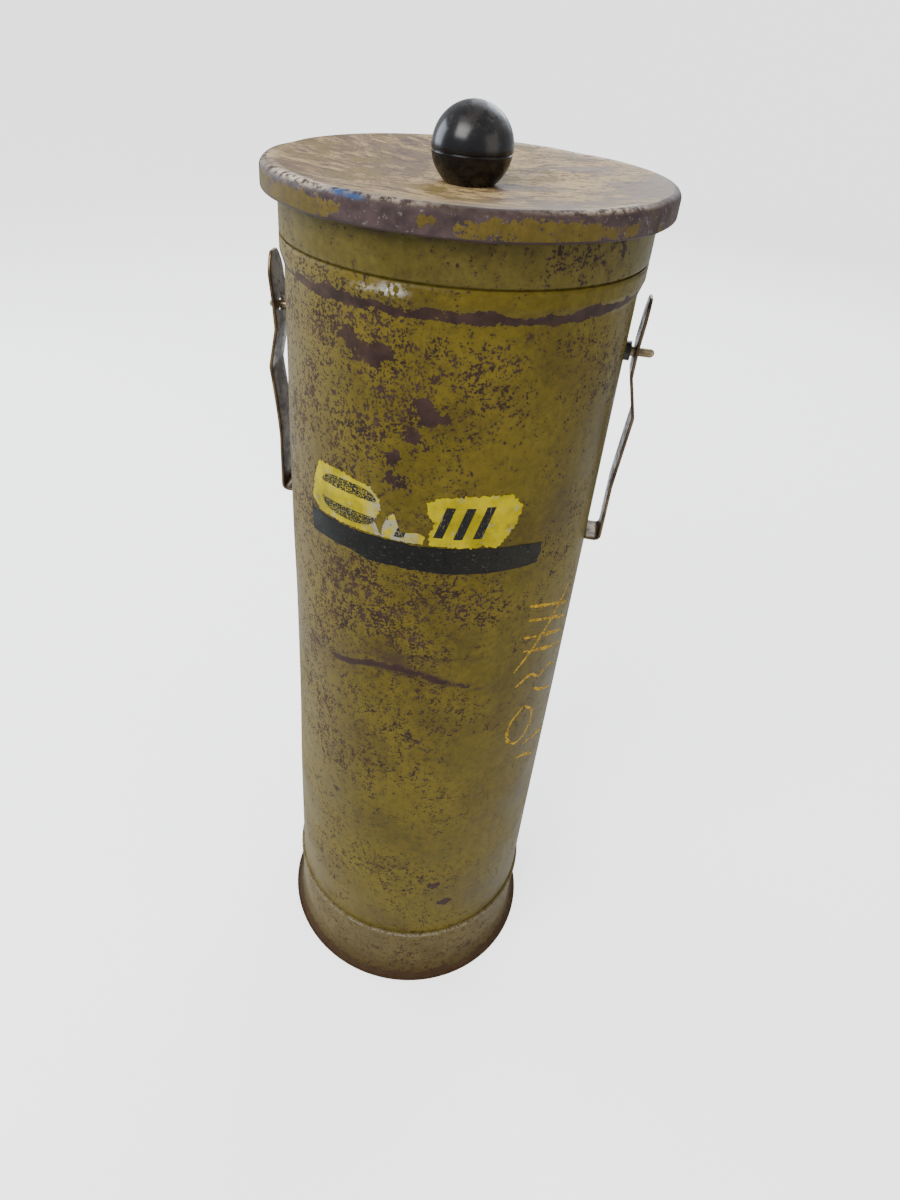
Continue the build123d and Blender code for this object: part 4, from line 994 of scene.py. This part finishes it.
dress(matt_finish("mineral_wool", (0.46, 0.40, 0.24, 1), (0.22, 0.17, 0.09, 1), 420, (1, 1, 0.35)),
      "insulation_sleeve", "base_insulation", "lid_insulation")
dress(matt_finish("heater_ceramic", (0.34, 0.31, 0.27, 1), (0.17, 0.14, 0.12, 1), 260, depth=0.0001,
                  rough=0.7), "heater_band")
dress(matt_finish("porcelain", (0.72, 0.69, 0.62, 1), (0.55, 0.50, 0.42, 1), 180, depth=0.00003, rough=0.35),
      "terminal_block")
dress(matt_finish("lead_braid", (0.50, 0.46, 0.38, 1), (0.26, 0.21, 0.15, 1), 2200, (1, 1, 0.5),
                  depth=0.0001), "heater_leads", "inlet_leads")
dress(moulding_finish("black_phenolic", (0.016, 0.013, 0.011, 1), (0.07, 0.05, 0.035, 1), gloss=0.4),
      "thermostat")


# ---- Lid -----------------------------------------------------------------------------------------
# A pressed pan with a dished top and a short skirt whose edge is folded inwards. Hands and rods have
# rubbed the top to a dusty brown, and the skirt shows primer with patches of olive left on it.
LID_RADIUS, LID_SHEET = 89.0, 1.0
HEM_LOW, HEM_TOP, HEM_INSIDE = 502.0, 505.2, 86.4
RIM_TOP, LID_EDGE = 513.0, 3.5
LID_MIDDLE, LID_FLAT, LID_HOLE = 506.0, 11.0, 4.2
LID_DISH = RIM_TOP - LID_MIDDLE
DISH_EDGE = LID_RADIUS - LID_EDGE


def dish(radius, middle):
    """Height of the dished sheet: flat in the middle, then rising with the square of the radius."""
    share = (radius ** 2 - LID_FLAT ** 2) / (DISH_EDGE ** 2 - LID_FLAT ** 2)
    return middle + LID_DISH * np.clip(share, 0, 1)


dish_radius = np.concatenate([np.linspace(LID_HOLE, LID_FLAT, 4), np.linspace(LID_FLAT, DISH_EDGE, 36)[1:]])
underside = np.stack([dish_radius, dish(dish_radius, LID_MIDDLE - LID_SHEET)], -1)
topside = np.stack([dish_radius, dish(dish_radius, LID_MIDDLE)], -1)
inner_radius = LID_RADIUS - LID_SHEET
skirt_line = rounded_path(
    [(DISH_EDGE, RIM_TOP - LID_SHEET), (inner_radius, RIM_TOP - LID_SHEET), (inner_radius, HEM_LOW + 1.3),
     (HEM_INSIDE + 1, HEM_LOW + 1.3), (HEM_INSIDE + 1, HEM_TOP), (HEM_INSIDE, HEM_TOP), (HEM_INSIDE, HEM_LOW),
     (LID_RADIUS, HEM_LOW), (LID_RADIUS, RIM_TOP), (DISH_EDGE, RIM_TOP)],
    (2.5, 0.25, 0.25, 0, 0, 1.25, 1.25, 3.5), 1.1)
lid_profile = np.vstack([underside, skirt_line[1:-1], topside[::-1], underside[:1]])
top_from = len(underside) + len(skirt_line) - 2
outside_from = len(underside) + int(np.argmax(skirt_line[:, 1] * (skirt_line[:, 0] > 88.9) > HEM_LOW + 1)) - 1
grid, azimuth, radius, height = revolved(lid_profile, 217)
angle = np.radians(azimuth)
row = np.arange(len(lid_profile))[:, None] + 0 * azimuth
wide = (radius / LID_RADIUS) ** 2
ripple = np.sin(radius / 9 + 2 * np.sin(angle * 3)) * (radius > 14)
lift = 0.22 * wide * np.sin(2 * angle + 0.6) + 0.10 * ripple
knocks = spots(azimuth, radius, (
    (-30, 86, 6, 6, 0.5), (14, 88, 5, 5, 0.35), (62, 86, 6, 5, 0.4), (-100, 87, 7, 6, 0.5),
    (150, 86, 8, 6, 0.5), (24, 60, 14, 12, 0.35), (-140, 40, 20, 12, 0.4)))
grid = grid + np.stack([0 * lift, 0 * lift, lift * (radius > 12) - 0.8 * knocks], -1)
outward = np.stack([np.sin(angle), -np.cos(angle), 0 * angle], -1)
grid = grid - outward * (0.25 * knocks * (radius > 80))[..., None]
top_face = (row >= top_from) * 1.0
outer_face = (row >= outside_from) * 1.0
skirt_face = outer_face * (1 - smooth(height, RIM_TOP - 2.6, RIM_TOP - 0.8))
edge_face = outer_face * np.exp(-((height - RIM_TOP + 0.9) / 0.9) ** 2) * smooth(radius, 84.5, 86.5)
side = (azimuth + 180) % 360 - 180
olive_left = spots(side, height, (
    (-41, 505.5, 9, 4.5, 1.0), (-30, 506, 6, 3, 0.9), (-58, 507, 9, 5, 0.8), (-24, 506.5, 3, 2, 0.6)))
olive_right = spots(side, height, (
    (-1, 507.5, 4.5, 3.0, 0.9), (9, 505.5, 4, 3, 0.9), (14, 506.5, 5, 3.6, 1.0), (22, 505.5, 6, 4.2, 1.0),
    (32, 506, 8, 4, 1.0), (45, 505.5, 8, 3, 0.8), (60, 506, 9, 3, 0.5)))
olive_back = spots(side, height, (
    (120, 506, 16, 4, 0.9), (165, 507, 12, 4, 0.8), (-120, 506, 18, 4, 0.9), (-160, 505, 12, 3, 0.8),
    (90, 505, 10, 3, 0.6), (-90, 506, 10, 4, 0.7)))
# Rubbed paint on the rim's top edge, partly a painted highlight where the light from the front-left catches
# it
rim_wear_and_highlight = spots(side, height, (
    (-39, 512.9, 17, 1.1, 1.1), (-72, 512.4, 10, 1.2, 0.5), (-8, 512.6, 9, 0.8, 0.4),
    (44, 512.6, 16, 0.8, 0.5), (160, 512.6, 30, 1.0, 0.6)))
# A painted blue reflection on the front of the rim
painted_blue_reflection = spots(side, height, ((-24, 512.2, 4.2, 0.8, 1.1), (-18, 511.6, 2.5, 0.7, 0.8)))
right_sheen = 0.35 + 0.65 * spot(side, 0 * side, (24, 0), (62, 1))
lid = skin("lid_sheet", [grid], {
    "top": [top_face], "skirt": [skirt_face], "edge": [edge_face],
    "olive": [np.clip((olive_left + olive_right + olive_back) * skirt_face, 0, 1.2)],
    "bright": [np.clip(rim_wear_and_highlight * (radius > 83) * outer_face, 0, 1)],
    "blue": [np.clip(painted_blue_reflection * outer_face * (radius > 85), 0, 1)],
    "sheen": [top_face * smooth(radius, 50, 84) * right_sheen]}, sharp=50)


def lid_finish():
    """The lid's worn top with its sheen, its rubbed edge that is partly a painted highlight, a painted
    blue reflection on the rim and its primed skirt, by the marks the sheet carries.
    """
    finish, graph, shader = new_finish("lid_paint")
    place = graph.place()
    grain = graph.noise(graph.stretched(place, (95, 190, 150)), 1.0, 7, 0.74, 0.9)
    cloud = graph.noise(graph.stretched(place, (26, 36, 30)), 1.0, 7, 0.7, 1.2)
    fine = graph.noise(place, 520, 4, 0.65)
    top = graph.mix(graph.rise(cloud, 0.42, 0.56), (0.160, 0.096, 0.042, 1), (0.440, 0.305, 0.138, 1))
    top = graph.mix(graph.rise(grain, 0.46, 0.62, 0.0, 0.85), top, (0.070, 0.040, 0.028, 1))
    patch = graph.rise(graph.noise(place, 38, 6, 0.68, 0.3), 0.54, 0.58, 0.0, 0.8)
    top = graph.mix(patch, top, (0.170, 0.118, 0.032, 1))
    top = graph.mix(graph.rise(fine, 0.57, 0.62, 0.0, 0.75), top, (0.050, 0.027, 0.018, 1))
    top = graph.mix(graph.times(graph.mark("sheen"), 0.5), top, (0.105, 0.074, 0.054, 1))
    old = graph.effect(chipped_paint, {
        "Place": place, "Paint": (0.074, 0.050, 0.006, 1), "Faded": (0.112, 0.080, 0.014, 1),
        "Primer": (0.050, 0.032, 0.032, 1), "Specks": 0.45,
        "Flakes": graph.rise(graph.mark("olive"), 0.0, 1.0, 0.95, 0.48)})
    skirt = old["Color"]
    rubbed = graph.rise(graph.noise(place, 480, 4, 0.7), 0.60, 0.64, 0.0, 0.7)
    skirt = graph.mix(graph.times(rubbed, old["Bare"]), skirt, (0.16, 0.14, 0.13, 1))
    under = (0.036, 0.022, 0.018, 1)
    colour = graph.mix(graph.mark("skirt"), under, skirt)
    colour = graph.mix(graph.mark("top"), colour, top)
    edge = graph.times(graph.mark("edge"), graph.rise(fine, 0.36, 0.58))
    colour = graph.mix(graph.times(edge, 0.85), colour, (0.058, 0.036, 0.032, 1))
    # Pale cream on the rim: rubbed paint, partly a painted highlight
    broken = graph.rise(graph.noise(place, 300, 5, 0.7), 0.42, 0.56)
    bright = graph.times(graph.mark("bright"), broken)
    colour = graph.mix(bright, colour, (0.66, 0.56, 0.42, 1))
    # A painted blue reflection on the front of the rim
    blue = graph.times(graph.mark("blue"), graph.rise(grain, 0.36, 0.52))
    colour = graph.mix(blue, colour, (0.016, 0.070, 0.190, 1))
    height = graph.plus(graph.times(old["Height"], graph.mark("skirt")),
                        graph.times(grain, 0.6))
    rough = graph.maths("MULTIPLY_ADD", graph.mark("sheen"), -0.06, graph.rise(cloud, 0.3, 0.7, 0.48, 0.66))
    shade(graph, shader, {"Base Color": colour, "Roughness": rough,
                          "Metallic": graph.times(bright, 0.4), "Specular IOR Level": 0.16},
          height=height, strength=0.5, depth=0.00025)
    return finish


fit(lid, "lid", ["lid_pan"], lid_finish())
dress(matt_finish("seal_weave", (0.42, 0.40, 0.35, 1), (0.20, 0.18, 0.15, 1), 1400, depth=0.0002), "lid_seal")
dress(metal_finish("liner_steel", (0.38, 0.36, 0.33, 1), (0.19, 0.16, 0.13, 1), rust=0.4), "lid_liner")


# ---- Knob ----------------------------------------------------------------------------------------
# A black moulded ball on a brass insert, with the fine line left by its mould just below the middle.
KNOB_RADIUS, KNOB_MIDDLE, KNOB_LINE = 17.5, 520.0, 518.5
GROOVE_DEPTH, GROOVE_WIDTH = 0.4, 0.28
KNOB_FOOT = 10.5                  # radius of the flat it stands on

start = -math.acos(KNOB_FOOT / KNOB_RADIUS)
tilt = np.concatenate([np.linspace(start, -0.14, 26), np.linspace(-0.14, -0.03, 34)[1:],
                       np.linspace(-0.03, math.pi / 2, 48)[1:]])
ball = np.stack([KNOB_RADIUS * np.cos(tilt), KNOB_MIDDLE + KNOB_RADIUS * np.sin(tilt)], -1)
ball[:, 0] -= GROOVE_DEPTH * np.exp(-((ball[:, 1] - KNOB_LINE) / GROOVE_WIDTH) ** 2)
ball[-1, 0] = 0
foot = rounded_path([(0, LID_MIDDLE), (KNOB_FOOT, LID_MIDDLE), tuple(ball[1])], (0.35,), 1.5)
grid, azimuth, radius, height = revolved(np.vstack([foot, ball[2:]]), 129)
knob = skin("knob_ball", [grid], {"dust": [smooth(height, 522, 535) * (0.55 + 0.45 * spot(
    azimuth, height, (60, 530), (70, 14)))]}, sharp=50)


def knob_finish():
    """Glossy black moulding with a brownish dusty top, pale dust in specks and fine scratches."""
    finish, graph, shader = new_finish("knob_black")
    place = graph.place()
    speck = graph.rise(graph.noise(place, 900, 4, 0.72), 0.655, 0.685)
    wide = graph.rise(graph.noise(place, 230, 5, 0.7), 0.56, 0.66)
    cloud = graph.rise(graph.noise(place, 120, 5, 0.66), 0.38, 0.62)
    dust = graph.times(graph.mark("dust"), cloud)
    colour = graph.mix(graph.times(dust, 0.4), (0.003, 0.003, 0.0042, 1), (0.04, 0.026, 0.018, 1))
    smudge = graph.times(wide, graph.mark("dust"))
    spots_on = graph.times(graph.maths("MAXIMUM", speck, smudge), 0.22)
    colour = graph.mix(spots_on, colour, (0.16, 0.14, 0.12, 1))
    scratch = graph.rise(graph.noise(graph.stretched(place, (200, 900, 1500)), 1.0, 4, 0.7), 0.6, 0.7)
    rough = graph.plus(graph.rise(dust, 0, 1, 0.22, 0.50), graph.times(scratch, 0.12))
    relief = graph.plus(graph.times(scratch, -0.5), speck)
    shade(graph, shader, {"Base Color": colour, "Roughness": rough, "Specular IOR Level": 0.38},
          height=relief, strength=0.2, depth=0.00006)
    return finish


fit(knob, "lid", ["ball_knob"], knob_finish())


# ---- Floor, light and camera ---------------------------------------------------------------------
# A plain pale floor that curves up into its own backdrop and glows for the camera only, a large soft
# key light, a warm fill, and cool lights at the left and behind. The camera looks down from close by,
# right of the label.
def lamp(name, place, aim, size, power, colour):
    """A square area light that faces its aim."""
    light = bpy.data.lights.new(name, "AREA")
    light.size = size
    light.energy = power
    light.color = colour
    holder = bpy.data.objects.new(name, light)
    holder.location = place
    holder.rotation_euler = (Vector(aim) - Vector(place)).to_track_quat("-Z", "Y").to_euler()
    bpy.context.scene.collection.objects.link(holder)


BOWL_FLAT, BOWL_RADIUS, BOWL_HEIGHT = 4300.0, 5200.0, 3000.0
BACKDROP_GLOW = 1.6
bowl = rounded_path([(BOWL_RADIUS, BOWL_HEIGHT), (BOWL_FLAT, -0.05), (0, -0.05)], (2200,), 260)
floor = skin("floor", [revolved(bowl, 97)[0]], sharp=80)
finish, graph, shader = new_finish("pale_floor")
speckle = graph.noise(graph.place(), 30, 3, 0.5)
seen = graph.add("LightPath").outputs["Is Camera Ray"]
shade(graph, shader, {"Base Color": graph.mix(speckle, (0.80, 0.80, 0.80, 1), (0.84, 0.84, 0.84, 1)),
                      "Roughness": 0.9, "Emission Color": (1, 1, 1, 1),
                      "Emission Strength": graph.times(seen, BACKDROP_GLOW)})
floor.data.materials.append(finish)

world = bpy.data.worlds.new("studio")
bpy.context.scene.world = world
world.use_nodes = True
world.node_tree.nodes["Background"].inputs["Color"].default_value = (0.93, 0.96, 1.0, 1)
world.node_tree.nodes["Background"].inputs["Strength"].default_value = 0.75
lamp("key", (-0.75, -1.25, 1.75), (0, 0, 0.32), 1.1, 42, (1.0, 0.985, 0.96))
lamp("fill", (1.5, -0.7, 0.9), (0, 0, 0.25), 1.2, 7, (1.0, 0.90, 0.74))
lamp("cool_side", (-1.5, 0.35, 0.85), (0, 0, 0.28), 0.9, 20, (0.80, 0.88, 1.0))
lamp("behind", (0.35, 1.7, 1.5), (0, 0, 0.5), 1.3, 26, (0.86, 0.92, 1.0))

CAMERA_AZIMUTH, CAMERA_OUT, CAMERA_HIGH = 8.0, 377.5, 568.3
LOOK_DOWN, LOOK_RIGHT, CAMERA_ROLL = (math.radians(a) for a in (35.7654, -0.7815, 4.7265))
look = Vector((math.sin(LOOK_RIGHT) * math.cos(LOOK_DOWN), math.cos(LOOK_RIGHT) * math.cos(LOOK_DOWN),
               -math.sin(LOOK_DOWN)))
level = Vector((math.cos(LOOK_RIGHT), -math.sin(LOOK_RIGHT), 0))
upright = level.cross(look)
right = level * math.cos(CAMERA_ROLL) + upright * math.sin(CAMERA_ROLL)
above = upright * math.cos(CAMERA_ROLL) - level * math.sin(CAMERA_ROLL)
round_object = Matrix.Rotation(math.radians(CAMERA_AZIMUTH), 3, "Z")
lens = bpy.data.cameras.new("camera")
lens.sensor_width = 36.0
lens.lens = 23.81
lens.shift_x, lens.shift_y = 0.0209, -0.0213
lens.clip_start = 0.01
camera = bpy.data.objects.new("camera", lens)
camera.matrix_world = Matrix.Translation(round_object @ Vector((0, -CAMERA_OUT, CAMERA_HIGH)) * MM) @ (
    round_object @ Matrix((right, above, -look)).transposed()).to_4x4()
bpy.context.scene.collection.objects.link(camera)
bpy.context.scene.camera = camera
